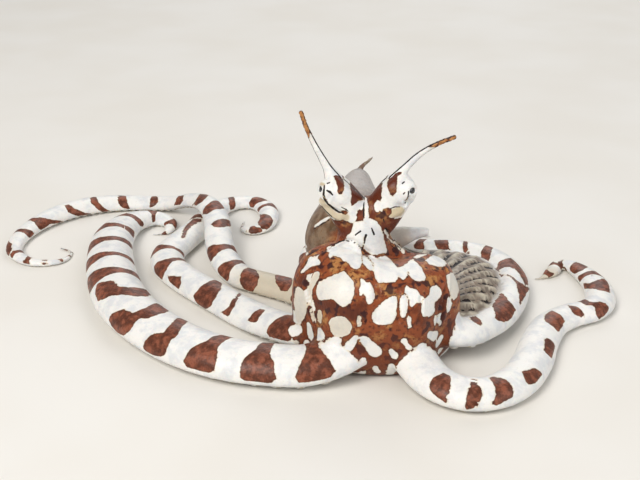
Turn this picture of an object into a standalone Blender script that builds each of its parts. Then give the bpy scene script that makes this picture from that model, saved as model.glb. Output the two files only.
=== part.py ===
"""A life-size mimic octopus at rest on the floor, as a still museum model.

The animal faces -Y. The crown of eight arms and its web stand as a dome round the origin, the head
with its two stalked eyes and horns rises from it, and the mantle hangs out behind, towards +Y.
Each arm lies on the floor on its suckers. Sizes below are in millimetres, and each mesh is made in
metres, +Z up.
"""

import math

import bmesh
import bpy
import numpy as np
from mathutils import Matrix, Vector

MM = 0.001
GAP = 0.3  # between two meshes that touch

# The dome of the crown and web
CROWN_CENTRE_X = -1.9
CROWN_RADIUS = 21.8
CROWN_HEIGHT = 28.8
CROWN_LEAN = 1.6  # how much the right side stands higher, and the left side lower
BACK_HEIGHT = 12.0  # under the mantle
BACK_BEARING = 118.0  # from the front, in degrees, where the crown drops to its back
CROWN_PROFILE = [  # share of the radius and of the height, from the foot to the middle of the top
    (0.80, 0.0), (0.90, 0.06), (0.975, 0.22), (1.0, 0.42), (0.995, 0.60), (0.95, 0.77), (0.84, 0.90),
    (0.66, 0.975), (0.48, 1.0), (0.32, 0.97), (0.16, 0.93),
]
CROWN_SIDES = 44
RIDGE_HEIGHT = 1.6  # of the web over each arm's root
RIDGE_WIDTH = 0.26  # in radians

# Each arm's section is an ellipse, wider than it is high
ARM_FLATNESS = 0.54
ARM_END_SHARE = 0.72  # of its middle width, towards which the arm narrows
ARM_TIP_START = 0.72  # of its length, where the fine tip begins
ARM_TIP_POWER = 2.2
ARM_TIP_WIDTH = 1.1
ARM_SIDES = 8
ARM_RING_STEP = 4.0
STUMP_REACH = 2.2  # of each arm's root past the dome, to which it is fused
SUCKER_REACH = 0.12  # below the arm, as a share of its half height
SUCKER_WIDTH = 0.24  # of the arm's width
SUCKER_SPACING = 0.95  # of the arm's width, along one row
SUCKER_OFFSET = 0.17  # of each row from the arm's midline, of its width
SUCKER_SIDES = 6
SUCKER_STEP = 1.8  # at the least, between two suckers
SUCKER_MARGIN = 0.4  # of each sucker to the end of its length of arm
SUCKER_TOP_SHARE = 0.85  # of its width at the mouth
LEAST_SUCKER = 0.5
FIRST_SUCKER = 2.0  # past the stump
LAST_SUCKER = 1.5  # before the tip

# The head, its stalks and eyes. The animal's right is at -X.
NECK_X = -5.0
NECK_SECTIONS = [  # x, y, z, half width, half depth
    (-4.5, 1.5, 17.0, 8.5, 8.0),
    (-5.0, 1.5, 24.0, 8.2, 7.6),
    (-5.5, 1.2, 30.0, 6.9, 6.8),
    (-5.2, 1.0, 34.5, 6.6, 6.2),
    (-4.9, 0.8, 38.2, 6.4, 5.2),
    (-5.1, 0.8, 40.3, 4.4, 3.8),
    (-5.3, 0.8, 41.4, 1.9, 2.2),
]
NECK_SIDES = 18
NECK_RING_STEP = 2.6
STALK_ROOT = (2.6, 0.8, 35.5)  # x is to each side of the neck's middle
STALK_ROOT_RADIUS = 5.3
STALK_SIDES = 12
STALK_RING_STEP = 2.2
EYE_BULBS = {"right": (-11.9, 0.0, 43.4), "left": (2.7, 0.0, 43.9)}
BULB_RADIUS = 4.9
BULB_SLOPES = {  # each bulb is flat where it faces the other one: direction, and reach from its middle
    "right": ((0.671, 0.0, 0.741), 3.2),
    "left": ((-0.66, 0.0, 0.75), 3.75),
}
EYE_RADIUS = 2.7
EYE_PROUD = 0.55  # of the eye out of its bulb
EYE_LOOK = {"right": (-0.87, -0.38, 0.31), "left": (0.68, -0.69, 0.26)}
LID_OPENING = 1.75  # radius
LID_THICKNESS = 0.55
LID_SIDES = 12
LID_ROUND_SIDES = 5
HORN_WIDTH = 2.7
HORN_TIP_WIDTH = 1.0
HORN_TAPER = 1.8
HORN_FLARE = 0.9  # of the horn's foot, where it spreads into the brow
HORN_SIDES = 8
HORN_RING_STEP = 1.6
HORN_STUB = 3.8  # of each horn, fused to the brow
HORN_PATHS = {
    "right": [
        (-13.2, 0.6, 46.5), (-15.0, 0.8, 50.0), (-18.0, 1.0, 55.6), (-20.2, 1.2, 60.4), (-21.4, 1.4, 64.0)],
    "left": [
        (2.4, 0.6, 46.4), (4.4, 0.8, 49.3), (8.2, 1.0, 53.2), (12.4, 1.2, 55.8), (16.8, 1.4, 57.6)],
}

# The mantle, from the neck to its tip
MANTLE_SECTIONS = [  # x, y, z, half width, half height
    (-5.0, 5.0, 23.5, 6.5, 6.5),
    (-5.8, 8.0, 22.5, 9.2, 9.4),
    (-7.8, 14.0, 21.2, 11.8, 11.6),
    (-8.6, 21.0, 20.8, 12.4, 12.0),
    (-8.2, 28.0, 21.8, 11.2, 11.0),
    (-7.2, 35.0, 24.0, 8.8, 8.8),
    (-6.2, 42.0, 26.8, 5.8, 5.8),
    (-5.4, 47.5, 28.8, 3.6, 3.4),
    (-5.2, 50.5, 29.8, 1.6, 1.5),
]
MANTLE_SIDES = 20
MANTLE_RING_STEP = 4.2
MANTLE_PAPILLA = [(-5.4, 48.6, 29.6), (-4.4, 50.8, 31.4), (-2.6, 52.2, 32.6), (-0.8, 53.0, 34.0)]
PAPILLA_RADII = (1.0, 0.4)
PAPILLA_SIDES = 6
SIPHON_KNOTS = [  # x, y, z, width
    (-1.5, 9.0, 23.4, 7.4), (2.5, 8.0, 26.6, 6.6), (5.8, 7.2, 28.2, 5.2), (8.6, 6.9, 29.0, 3.5),
    (11.4, 7.0, 29.4, 2.6),
]
SIPHON_SIDES = 12
SIPHON_RING_STEP = 1.6
SIPHON_BORE = (1.4, 1.7)  # width at its bottom and at the mouth
SIPHON_BORE_DEPTH = 2.5
CUTTER_REACH = 1.5  # past the surface that it opens

# Each arm: its width at the root and at its middle, the number of lengths that it is parted into, and
# the points that it runs through on the floor, as x, y and how far it is lifted off the floor.
ARMS = {
    "arm_left_1": (13.0, 10.0, 4, [
        (3.5, -9, 6), (7.0, -18, 2.5), (11.5, -26, 0.5), (18.5, -30.8, 0), (26, -29.8, 0),
        (32.5, -24, 0), (37.8, -14.5, 0), (41.6, -4, 0), (46.2, 5, 0), (52.4, 10.3, 0), (59, 13.8, 0),
        (63.4, 20, 0), (64.6, 29, 0), (63.2, 37.6, 0), (60.4, 44.6, 0), (56.6, 46, 0), (54.2, 41.8, 0),
        (51.4, 39.2, 0), (48.2, 37.8, 0)]),
    "arm_left_2": (12.0, 9.6, 4, [
        (8, -5, 7), (18.5, -8.5, 4.5), (26.5, -0.5, 2.5), (32.6, 8.5, 1.6), (37.2, 18.7, 1.2),
        (39.8, 30, 0.9), (38.8, 41.6, 0.8), (34.5, 49.4, 0.8), (28, 53.4, 0.8), (21.4, 55.4, 0.8),
        (15.5, 58.2, 0.4), (12, 62.5, 0), (12, 67.5, 0), (15.5, 71, 0), (19.5, 69.5, 0)]),
    "arm_left_3": (9.0, 7.5, 3, [
        (6, 6, 8), (12, 13.5, 4), (18.5, 18.5, 1), (25.5, 23, 0), (29.6, 30, 0), (27.5, 37.5, 0),
        (20.5, 40.5, 0), (14, 37, 0), (13.6, 30.5, 0), (18.5, 29, 0)]),
    "arm_left_4": (9.5, 7.9, 4, [
        (0.5, 10, 7), (1.5, 20, 1), (1, 31, 0), (-2, 43, 0), (-2, 54, 0), (3, 63, 0), (3.5, 72, 0),
        (-1.5, 76.5, 0), (-5, 72.5, 0), (-2.5, 69.5, 0)]),
    "arm_right_1": (15.0, 16.0, 4, [
        (-6, -9, 6), (-11.5, -16.5, 2.5), (-20, -19.3, 0.3), (-30, -18.5, 0), (-41, -15.5, 0),
        (-52.4, -8.5, 0), (-63, 2.2, 0), (-71.8, 15.5, 0), (-77.6, 30.5, 0), (-81.3, 46, 0),
        (-83, 61, 0), (-80.5, 74, 0), (-73.5, 81, 0), (-67.2, 78.6, 0), (-67.4, 72.4, 0),
        (-71.8, 71.2, 0)]),
    "arm_right_2": (12.5, 10.4, 5, [
        (-11, -4, 7), (-20.5, -5, 3), (-28.5, 2, 1), (-37, 10.5, 0), (-46.5, 21, 0), (-56, 32, 0),
        (-62.5, 42, 0), (-64, 51, 0), (-61, 60.5, 0), (-57.4, 70, 0), (-55, 79.5, 0), (-52.2, 88.5, 0),
        (-47, 94.8, 0), (-40.4, 95.8, 0), (-35.6, 91, 0), (-34, 83, 0), (-35.6, 75.5, 0),
        (-39.6, 72.6, 0), (-42.6, 76.6, 0), (-42.6, 82, 0)]),
    "arm_right_3": (11.0, 7.6, 5, [
        (-10, 7, 7), (-18.4, 17, 2), (-25, 25.3, 0), (-32.5, 30, 0), (-40, 35, 0), (-45.5, 43.5, 1.5),
        (-48.3, 53.5, 3.8), (-49.6, 63, 5.6), (-51.4, 71.5, 6.0), (-55, 79.5, 6.2), (-60.6, 86.8, 4.2),
        (-68.5, 92.3, 1), (-79, 94.8, 0), (-91, 93.4, 0), (-101.6, 88, 0), (-109.6, 79, 0),
        (-114, 67.5, 0), (-113.6, 56, 0), (-106.6, 48.6, 0), (-98, 49.6, 0), (-95.6, 56.6, 0),
        (-100, 60.6, 0)]),
    "arm_right_4": (9.5, 7.9, 4, [
        (-5, 10, 7), (-9, 20, 1), (-15, 31, 0), (-19, 43, 0), (-18.5, 55, 0), (-12.5, 64, 0),
        (-9.5, 74, 0), (-10.5, 84, 0), (-16, 87.5, 0), (-18.5, 83, 0), (-15.5, 80.5, 0)]),
}
# Where an arm is thicker, or below 0 thinner, than by the rule: share of its length, spread, amount
ARM_SWELLS = {
    "arm_left_1": [(0.965, 0.03, 0.9)],
    "arm_right_2": [(0.76, 0.06, -0.2), (0.93, 0.045, 0.35)],
    "arm_right_3": [(0.67, 0.09, 0.34)],
}



def smooth_path(knots, step):
    """Points at an even step along a Catmull-Rom curve through the knots."""
    knots = np.asarray(knots, float)
    first = 2 * knots[0] - knots[1]
    last = 2 * knots[-1] - knots[-2]
    k = np.vstack([first, knots, last])
    fine = []
    for i in range(len(knots) - 1):
        p0, p1, p2, p3 = k[i : i + 4]
        for t in np.linspace(0, 1, 24, endpoint=False):
            fine.append(
                0.5 * (2 * p1 + (p2 - p0) * t + (2 * p0 - 5 * p1 + 4 * p2 - p3) * t**2
                       + (3 * p1 - p0 - 3 * p2 + p3) * t**3)
            )
    fine.append(knots[-1])
    fine = np.array(fine)
    run = np.concatenate([[0], np.cumsum(np.linalg.norm(np.diff(fine, axis=0), axis=1))])
    count = max(2, round(run[-1] / step) + 1)
    even = np.linspace(0, run[-1], count)
    return np.column_stack([np.interp(even, run, fine[:, i]) for i in range(fine.shape[1])])


def unit(vectors):
    """The same directions with a length of one."""
    return vectors / np.linalg.norm(vectors, axis=-1, keepdims=True)


def directions(path):
    """Unit tangent, side and up at each point of a path. Side stays level, as for an arm on the floor."""
    along = unit(np.gradient(path, axis=0))
    side = unit(np.cross(along, [0, 0, 1]))
    return along, side, np.cross(side, along)


def loft(name, rings):
    """A closed mesh through rings of as many points each, with a flat cap on each end."""
    rings = np.asarray(rings, float) * MM
    count, sides = rings.shape[:2]
    faces = []
    for r in range(count - 1):
        for s in range(sides):
            a, b = r * sides + s, r * sides + (s + 1) % sides
            faces.append((a, b, b + sides, a + sides))
    faces.append(tuple(range(sides - 1, -1, -1)))
    faces.append(tuple(range((count - 1) * sides, count * sides)))
    mesh = bpy.data.meshes.new(name)
    mesh.from_pydata(rings.reshape(-1, 3), [], faces)
    bm = bmesh.new()
    bm.from_mesh(mesh)
    bmesh.ops.recalc_face_normals(bm, faces=bm.faces)
    bm.to_mesh(mesh)
    bm.free()
    obj = bpy.data.objects.new(name, mesh)
    model.objects.link(obj)
    return obj


def route_of(path, half, high):
    """A table of a limb: distance along it, place, tangent, side, up, half width and half height."""
    run = np.concatenate([[0], np.cumsum(np.linalg.norm(np.diff(path, axis=0), axis=1))])
    along, side, up = directions(path)
    return np.column_stack([run, path, along, side, up, half, high])


def rows_at(route, at):
    """Rows of a limb's table at these distances along it, with unit directions."""
    rows = np.column_stack([np.interp(at, route[:, 0], column) for column in route.T])
    for first in (4, 7, 10):
        rows[:, first : first + 3] = unit(rows[:, first : first + 3])
    return rows


def tube(name, rows, sides, first_turn=0.0):
    """A loft of ellipses that stand square to a limb, one for each row of its table."""
    turn = first_turn + np.arange(sides) * 2 * math.pi / sides
    across = rows[:, None, 7:10] * (rows[:, 13:14] * np.cos(turn))[:, :, None]
    upward = rows[:, None, 10:13] * (rows[:, 14:15] * np.sin(turn))[:, :, None]
    return loft(name, rows[:, None, 1:4] + across + upward)


def ball(name, centre, radius, segments=16, rings=10):
    """A round body."""
    mesh = bpy.data.meshes.new(name)
    bm = bmesh.new()
    bmesh.ops.create_uvsphere(bm, u_segments=segments, v_segments=rings, radius=radius * MM)
    bm.transform(Matrix.Translation(Vector(centre) * MM))
    bm.to_mesh(mesh)
    bm.free()
    obj = bpy.data.objects.new(name, mesh)
    model.objects.link(obj)
    return obj


def fuse(obj, pieces, operation="UNION"):
    """Joins closed pieces to obj, or cuts them from it, with one Boolean, and removes them."""
    tools = bpy.data.collections.new("pieces_of_" + obj.name)
    bpy.context.scene.collection.children.link(tools)
    for piece in pieces:
        model.objects.unlink(piece)
        tools.objects.link(piece)
    modifier = obj.modifiers.new("join", "BOOLEAN")
    modifier.operation = operation
    modifier.operand_type = "COLLECTION"
    modifier.collection = tools
    graph = bpy.context.evaluated_depsgraph_get()
    joined = bpy.data.meshes.new_from_object(obj.evaluated_get(graph))
    obj.modifiers.clear()
    obj.data = joined
    for piece in pieces:
        bpy.data.objects.remove(piece)
    bpy.data.collections.remove(tools)
    keep_largest(obj)
    return obj


def keep_largest(obj):
    """Drops all but the largest closed surface of a mesh."""
    bm = bmesh.new()
    bm.from_mesh(obj.data)
    bm.faces.ensure_lookup_table()
    seen, groups = set(), []
    for start in bm.faces:
        if start.index in seen:
            continue
        seen.add(start.index)
        group, todo = [], [start]
        while todo:
            face = todo.pop()
            group.append(face)
            for edge in face.edges:
                for other in edge.link_faces:
                    if other.index not in seen:
                        seen.add(other.index)
                        todo.append(other)
        groups.append(group)
    groups.sort(key=lambda group: sum(face.calc_area() for face in group))
    loose = [face for group in groups[:-1] for face in group]
    if loose:
        bmesh.ops.delete(bm, geom=loose, context="FACES")
        bmesh.ops.delete(bm, geom=[v for v in bm.verts if not v.link_faces], context="VERTS")
    bm.to_mesh(obj.data)
    bm.free()


def flesh(name, colour, roughness):
    """A Principled material for skin."""
    material = bpy.data.materials.new(name)
    material.use_nodes = True
    shader = material.node_tree.nodes["Principled BSDF"]
    shader.inputs["Base Color"].default_value = (*colour, 1)
    shader.inputs["Roughness"].default_value = roughness
    shader.inputs["Metallic"].default_value = 0.0
    return material


def finish(obj, material):
    """Gives a finished node its material and smooth shading."""
    obj.data.materials.clear()
    obj.data.materials.append(material)
    obj.data.shade_smooth()
    obj.data.set_sharp_from_angle(angle=math.radians(50))
    return obj


def arm_half_widths(share, name):
    """Half the arm's width at each share of its length: slow changes with a few swells, then a fine tip."""
    root, middle, *_ = ARMS[name]
    slow = np.interp(share, [0.0, 0.5, 1.0], [root, middle, middle * ARM_END_SHARE])
    for place, spread, amount in ARM_SWELLS.get(name, []):
        slow *= 1 + amount * np.exp(-(((share - place) / spread) ** 2))
    tip = np.clip((share - ARM_TIP_START) / (1 - ARM_TIP_START), 0, 1)
    return np.maximum(slow * (1 - tip**ARM_TIP_POWER), ARM_TIP_WIDTH) / 2


def arm_route(name):
    """The table of one arm, which lies on its suckers where it isn't lifted."""
    flat = smooth_path(ARMS[name][-1], ARM_RING_STEP)
    half = arm_half_widths(np.linspace(0, 1, len(flat)), name)
    high = half * ARM_FLATNESS
    path = flat.copy()
    path[:, 2] = high * (1 + SUCKER_REACH) + np.maximum(flat[:, 2], 0)
    return route_of(path, half, high)


def stretch(name, route, start, end, sides, gaps=(0.0, 0.0), first_turn=0.0):
    """The length of a limb from start to end as a closed body, each end set back by its gap."""
    inside = route[(route[:, 0] > start + 1.0) & (route[:, 0] < end - 1.0), 0]
    rows = rows_at(route, np.concatenate([[start], inside, [end]]))
    rows[0, 1:4] += rows[0, 4:7] * gaps[0]
    rows[-1, 1:4] -= rows[-1, 4:7] * gaps[1]
    return tube(name, rows, sides, first_turn)


def arm_stretch(name, route, start, end, gaps=(0.0, 0.0)):
    """One length of an arm, without its suckers."""
    return stretch(name, route, start, end, ARM_SIDES, gaps, math.pi / ARM_SIDES)


def stump_length(route):
    """How far along an arm its whole width is clear of the crown's dome."""
    for line in route:
        edges = line[1:3] + np.array([[-1], [0], [1]]) * line[7:9] * line[13]
        if np.hypot(edges[:, 0] - CROWN_CENTRE_X, edges[:, 1]).min() > CROWN_RADIUS + STUMP_REACH:
            return line[0]
    raise ValueError("the arm never leaves the crown")


def suckers(name, route, start, end):
    """The suckers of one length: two staggered rows of short cones under the arm, smaller to its tip."""
    made = []
    at, row = stump_length(route) + FIRST_SUCKER, 0
    while at < route[-1, 0] - LAST_SUCKER:
        line = rows_at(route, np.array([at]))[0]
        wide, tall, above = 2 * line[13], line[14], line[10:13]
        radius = max(SUCKER_WIDTH * wide, LEAST_SUCKER) / 2
        if start + radius + SUCKER_MARGIN < at < end - radius - SUCKER_MARGIN:
            place = line[1:4] + line[7:10] * wide * SUCKER_OFFSET * (1 if row % 2 else -1)
            if line[3] < tall * (1 + SUCKER_REACH) + 0.05:
                above = np.array([0.0, 0.0, 1.0])
            top = place - above * tall * 0.2
            bottom = place - above * tall * (1 + SUCKER_REACH)
            made.append(cone(f"{name}_sucker_{row}", bottom, top, radius, radius * SUCKER_TOP_SHARE))
        at += max(SUCKER_SPACING * wide / 2, SUCKER_STEP)
        row += 1
    return made


def cone(name, bottom, top, bottom_radius, top_radius, sides=SUCKER_SIDES):
    """A short cone between two points."""
    axis = Vector(top - bottom)
    mesh = bpy.data.meshes.new(name)
    bm = bmesh.new()
    bmesh.ops.create_cone(
        bm, cap_ends=True, segments=sides, radius1=bottom_radius * MM, radius2=top_radius * MM,
        depth=axis.length * MM,
    )
    turn = Vector((0, 0, 1)).rotation_difference(axis).to_matrix().to_4x4()
    bm.transform(Matrix.Translation(Vector((bottom + top) / 2) * MM) @ turn)
    bm.to_mesh(mesh)
    bm.free()
    obj = bpy.data.objects.new(name, mesh)
    model.objects.link(obj)
    return obj


def crown_height(angles):
    """How high the dome stands at each bearing, from +X through +Y."""
    from_front = np.degrees(np.abs(np.angle(np.exp(1j * (angles + math.pi / 2)))))
    front = 1 / (1 + np.exp((from_front - BACK_BEARING) / 9.0))
    top = CROWN_HEIGHT - CROWN_LEAN * np.cos(angles)
    return BACK_HEIGHT + (top - BACK_HEIGHT) * front


def arm_bearings():
    """The bearing at which each arm leaves the crown."""
    return [math.atan2(knots[1][1], knots[1][0] - CROWN_CENTRE_X) for *_, knots in ARMS.values()]


def crown_dome(name, grow=0.0):
    """The web drawn over the arm roots: a dome with a ridge over each arm."""
    angles = np.arange(CROWN_SIDES) * 2 * math.pi / CROWN_SIDES
    ridge = np.zeros(CROWN_SIDES)
    for bearing in arm_bearings():
        ridge += np.exp(-((np.angle(np.exp(1j * (angles - bearing))) / RIDGE_WIDTH) ** 2))
    top = crown_height(angles)
    rings = []
    for wide, high in CROWN_PROFILE:
        ridged = RIDGE_HEIGHT * (ridge - 0.5) * min(1.0, 4 * (1 - high), 0.4 + 2 * high)
        radius = wide * (CROWN_RADIUS + ridged) + grow
        x = CROWN_CENTRE_X + radius * np.cos(angles)
        rings.append(np.column_stack([x, radius * np.sin(angles), high * (top + grow)]))
    return loft(name, rings)


def sections_body(name, sections, sides, upright, grow=0.0):
    """A body through elliptical sections: upright ones lie level, and the others stand across Y."""
    turn = np.arange(sides) * 2 * math.pi / sides
    cosine, sine = np.cos(turn), np.sin(turn)
    rings = []
    for section in sections:
        x, y, z = section[:3]
        first, second = section[3] + grow, section[4] + grow
        if upright:
            rings.append(np.column_stack([x + first * cosine, y + second * sine, np.full(sides, z)]))
        else:
            rings.append(np.column_stack([x + first * cosine, np.full(sides, y), z + second * sine]))
    return loft(name, rings)


def mantle_body(name, grow=0.0):
    """The mantle, a drooping pear that ends in a blunt point."""
    sections = smooth_path(MANTLE_SECTIONS, MANTLE_RING_STEP)
    return sections_body(name, sections, MANTLE_SIDES, upright=False, grow=grow)


def neck_body(name, grow=0.0):
    """The neck and the middle of the head."""
    sections = smooth_path(NECK_SECTIONS, NECK_RING_STEP)
    return sections_body(name, sections, NECK_SIDES, upright=True, grow=grow)


def stalk(name, side):
    """A stalk from the middle of the head to the bulb that carries the eye."""
    sign = -1 if side == "right" else 1
    bulb = np.array(EYE_BULBS[side])
    spread, depth, height = STALK_ROOT
    root = np.array([NECK_X + sign * spread, depth, height])
    path = smooth_path([root, root * 0.45 + bulb * 0.55 + [0, 0, -0.4], bulb], STALK_RING_STEP)
    radii = np.linspace(STALK_ROOT_RADIUS, BULB_RADIUS * 0.96, len(path))
    along = unit(np.gradient(path, axis=0))
    across = unit(np.cross(along, [0, 1, 0]))
    turn = np.arange(STALK_SIDES) * 2 * math.pi / STALK_SIDES
    rings = (
        path[:, None, :]
        + across[:, None, :] * (radii[:, None] * np.cos(turn))[:, :, None]
        + np.array([0, 1, 0]) * (radii[:, None] * 0.94 * np.sin(turn))[:, :, None]
    )
    return flattened(loft(name, rings), side)


def flattened(obj, side):
    """Pushes what stands past a bulb's slope back onto it."""
    direction, reach = BULB_SLOPES[side]
    direction = Vector(direction).normalized()
    middle = Vector(EYE_BULBS[side]) * MM
    for vertex in obj.data.vertices:
        past = (vertex.co - middle).dot(direction) - reach * MM
        if past > 0:
            vertex.co -= direction * past
    return obj


def horn_route(side):
    """The table of a horn, from inside the brow to its tip."""
    path = smooth_path(HORN_PATHS[side], HORN_RING_STEP)
    share = np.linspace(0, 1, len(path))
    half = 0.5 * (HORN_TIP_WIDTH + (HORN_WIDTH - HORN_TIP_WIDTH) * (1 - share) ** HORN_TAPER)
    half += HORN_FLARE * np.exp(-((share / 0.13) ** 2))
    return route_of(path, half, half)


def eye_place(side):
    """The eye's centre: set in the outer face of its bulb, so that a cap of it shows."""
    look = Vector(EYE_LOOK[side]).normalized()
    return Vector(EYE_BULBS[side]) + look * (BULB_RADIUS - EYE_RADIUS + EYE_PROUD), look


def lid(name, side):
    """The raised rim of skin round the eye."""
    centre, look = eye_place(side)
    mesh = bpy.data.meshes.new(name)
    bm = bmesh.new()
    across = look.cross(Vector((0, 0, 1))).normalized()
    above = across.cross(look)
    forward = look * math.sqrt(EYE_RADIUS**2 - LID_OPENING**2) * 0.92
    rings = []
    for turn in np.arange(LID_SIDES) * 2 * math.pi / LID_SIDES:
        outward = across * math.cos(turn) + above * math.sin(turn) * 0.8
        middle = centre + forward + outward * (LID_OPENING + 0.45)
        ring = []
        for roll in np.arange(LID_ROUND_SIDES) * 2 * math.pi / LID_ROUND_SIDES:
            point = middle + (outward.normalized() * math.cos(roll) + look * math.sin(roll)) * LID_THICKNESS
            ring.append(bm.verts.new(point * MM))
        rings.append(ring)
    for ring, following in zip(rings, rings[1:] + rings[:1]):
        for i in range(LID_ROUND_SIDES):
            j = (i + 1) % LID_ROUND_SIDES
            bm.faces.new((ring[i], ring[j], following[j], following[i]))
    bmesh.ops.recalc_face_normals(bm, faces=bm.faces)
    bm.to_mesh(mesh)
    bm.free()
    obj = bpy.data.objects.new(name, mesh)
    model.objects.link(obj)
    return obj


def make_head(skin):
    """The neck, stalks, bulbs, lids and horn roots as one body, with a socket for each eye."""
    head = neck_body("head")
    pieces = []
    for side in EYE_BULBS:
        pieces.append(stalk("stalk_" + side, side))
        pieces.append(flattened(ball("bulb_" + side, EYE_BULBS[side], BULB_RADIUS, 14, 9), side))
        pieces.append(lid("lid_" + side, side))
        pieces.append(stretch("horn_root_" + side, horn_route(side), 0.0, HORN_STUB, HORN_SIDES))
    fuse(head, pieces)
    sockets = [ball("socket_" + side, eye_place(side)[0], EYE_RADIUS + GAP) for side in EYE_BULBS]
    sockets.append(mantle_body("mantle_room", GAP))
    fuse(head, sockets, operation="DIFFERENCE")
    return finish(head, skin)


def make_eyes(material):
    """Each eyeball, set in its socket."""
    for side in EYE_BULBS:
        finish(ball("eye_" + side, eye_place(side)[0], EYE_RADIUS, 14, 9), material)


def make_horns(skin):
    """The free part of each horn."""
    for side in EYE_BULBS:
        route = horn_route(side)
        finish(stretch("horn_" + side, route, HORN_STUB, route[-1, 0], HORN_SIDES, (GAP, 0.0)), skin)


def make_mantle(skin):
    """The mantle with the small papilla at its tip."""
    mantle = mantle_body("mantle")
    path = smooth_path(MANTLE_PAPILLA, 1.8)
    half = np.linspace(*PAPILLA_RADII, len(path))
    fuse(mantle, [tube("papilla", route_of(path, half, half), PAPILLA_SIDES)])
    return finish(mantle, skin)


def make_siphon(skin):
    """The funnel, a short tapered tube with an open mouth, cut clear of the head and mantle."""
    knots = smooth_path(SIPHON_KNOTS, SIPHON_RING_STEP)
    path, half = knots[:, :3], knots[:, 3] / 2
    siphon = tube("siphon", route_of(path, half, half), SIPHON_SIDES)
    along = unit(path[-1] - path[-2])
    bottom, top = path[-1] - along * SIPHON_BORE_DEPTH, path[-1] + along * CUTTER_REACH
    bore = cone("bore", bottom, top, SIPHON_BORE[0] / 2, SIPHON_BORE[1] / 2, SIPHON_SIDES)
    fuse(siphon, [bore], operation="DIFFERENCE")
    rooms = [mantle_body("mantle_room", GAP), neck_body("neck_room", GAP), crown_dome("crown_room", GAP)]
    fuse(siphon, rooms, operation="DIFFERENCE")
    return finish(siphon, skin)


def make_crown(skin, routes):
    """The dome of web with the root of each arm, cut clear of the head and the mantle."""
    crown = crown_dome("crown")
    stumps = [
        arm_stretch("stump_" + name, route, 0.0, stump_length(route), (0.0, GAP / 2))
        for name, route in routes.items()
    ]
    fuse(crown, stumps)
    rooms = [mantle_body("mantle_room", GAP), neck_body("neck_room", GAP)]
    fuse(crown, rooms, operation="DIFFERENCE")
    return finish(crown, skin)


def make_arm(name, route, lengths, skin):
    """One arm, parted square across into lengths from the crown to its tip."""
    cuts = np.linspace(stump_length(route), route[-1, 0], lengths + 1)
    for i in range(lengths):
        gaps = (GAP / 2, 0.0 if i == lengths - 1 else GAP / 2)
        node = arm_stretch(f"{name}_{'abcdef'[i]}", route, cuts[i], cuts[i + 1], gaps)
        fuse(node, suckers(name, route, cuts[i], cuts[i + 1]))
        finish(node, skin)


def build():
    """Makes every node."""
    body_skin = flesh("body_skin", (0.36, 0.13, 0.06), 0.45)
    arm_skin = flesh("arm_skin", (0.82, 0.80, 0.74), 0.45)
    eye = flesh("eye", (0.75, 0.62, 0.36), 0.12)
    routes = {name: arm_route(name) for name in ARMS}
    make_crown(body_skin, routes)
    make_head(body_skin)
    make_eyes(eye)
    make_horns(body_skin)
    make_mantle(body_skin)
    make_siphon(body_skin)
    for name, (_, _, lengths, _) in ARMS.items():
        make_arm(name, routes[name], lengths, arm_skin)


for old in list(bpy.data.objects):
    bpy.data.objects.remove(old)
model = bpy.data.collections.new("mimic_octopus")
bpy.context.scene.collection.children.link(model)
build()
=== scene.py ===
"""The looks of a life-size mimic octopus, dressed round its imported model.

The animal faces -Y and its right side is at -X. Sizes in this file are in millimetres unless a
property says otherwise, and each mesh is made in metres. One skin stands for all the flesh; the eyes,
the horns over them and the suckers are pieces of their own. Markings are outlines, strokes and bands
that lie on the skin: a place given in pixels of the photograph is carried to the surface along the line
of sight.
"""

import math

import bmesh
import bpy
import numpy as np
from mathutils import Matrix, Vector
from mathutils.bvhtree import BVHTree


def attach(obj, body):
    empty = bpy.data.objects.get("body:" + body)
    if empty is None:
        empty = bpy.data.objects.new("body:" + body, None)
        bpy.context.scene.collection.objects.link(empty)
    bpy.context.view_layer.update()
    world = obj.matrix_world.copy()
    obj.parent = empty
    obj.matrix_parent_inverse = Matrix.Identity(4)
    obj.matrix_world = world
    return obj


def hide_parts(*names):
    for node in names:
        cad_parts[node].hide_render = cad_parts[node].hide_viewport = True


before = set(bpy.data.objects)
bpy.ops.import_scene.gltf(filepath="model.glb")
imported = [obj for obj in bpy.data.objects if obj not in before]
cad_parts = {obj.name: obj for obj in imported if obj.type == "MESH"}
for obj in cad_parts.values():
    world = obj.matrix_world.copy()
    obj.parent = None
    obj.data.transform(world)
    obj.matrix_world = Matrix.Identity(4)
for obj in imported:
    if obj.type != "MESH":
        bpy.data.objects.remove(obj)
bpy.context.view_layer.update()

bl_info = {
    "name": "Mimic octopus",
    "version": (1, 0, 0),
    "blender": (4, 5, 0),
    "location": "View3D > Sidebar > Octopus",
    "description": "A mimic octopus at rest with its skin, eyes, horns and suckers",
    "category": "Add Mesh",
}

MM = 0.001

# The camera that took the photograph, and its picture of 640 x 480 pixels
CAMERA_PLACE = np.array([-16.74, -255.19, 143.76])
CAMERA_DOWN = math.radians(24.0)
CAMERA_FOCAL = 1080.0  # in pixels
PICTURE_MIDDLE = (320.0, 240.0)
SENSOR_WIDTH = 36.0
SIGHT = np.array([0.0, math.cos(CAMERA_DOWN), -math.sin(CAMERA_DOWN)])
SIGHT_RIGHT = np.array([1.0, 0.0, 0.0])
SIGHT_UP = np.array([0.0, math.sin(CAMERA_DOWN), math.cos(CAMERA_DOWN)])

# The stage, in metres but for the floor: each light's place, size, power and colour
FLOOR_RADIUS = 3000.0
FLOOR_SIDES = 96
LIT_PLACE = (-0.02, 0.02, 0.015)
LIGHTS = {
    "key": ((-0.45, -0.55, 0.75), 0.5, 8.4, (1.0, 0.97, 0.93)),
    "fill": ((0.7, -0.35, 0.5), 0.8, 3.2, (0.97, 0.98, 1.0)),
    "back": ((0.1, 0.8, 0.6), 0.7, 3.0, (1.0, 1.0, 1.0)),
}

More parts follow.
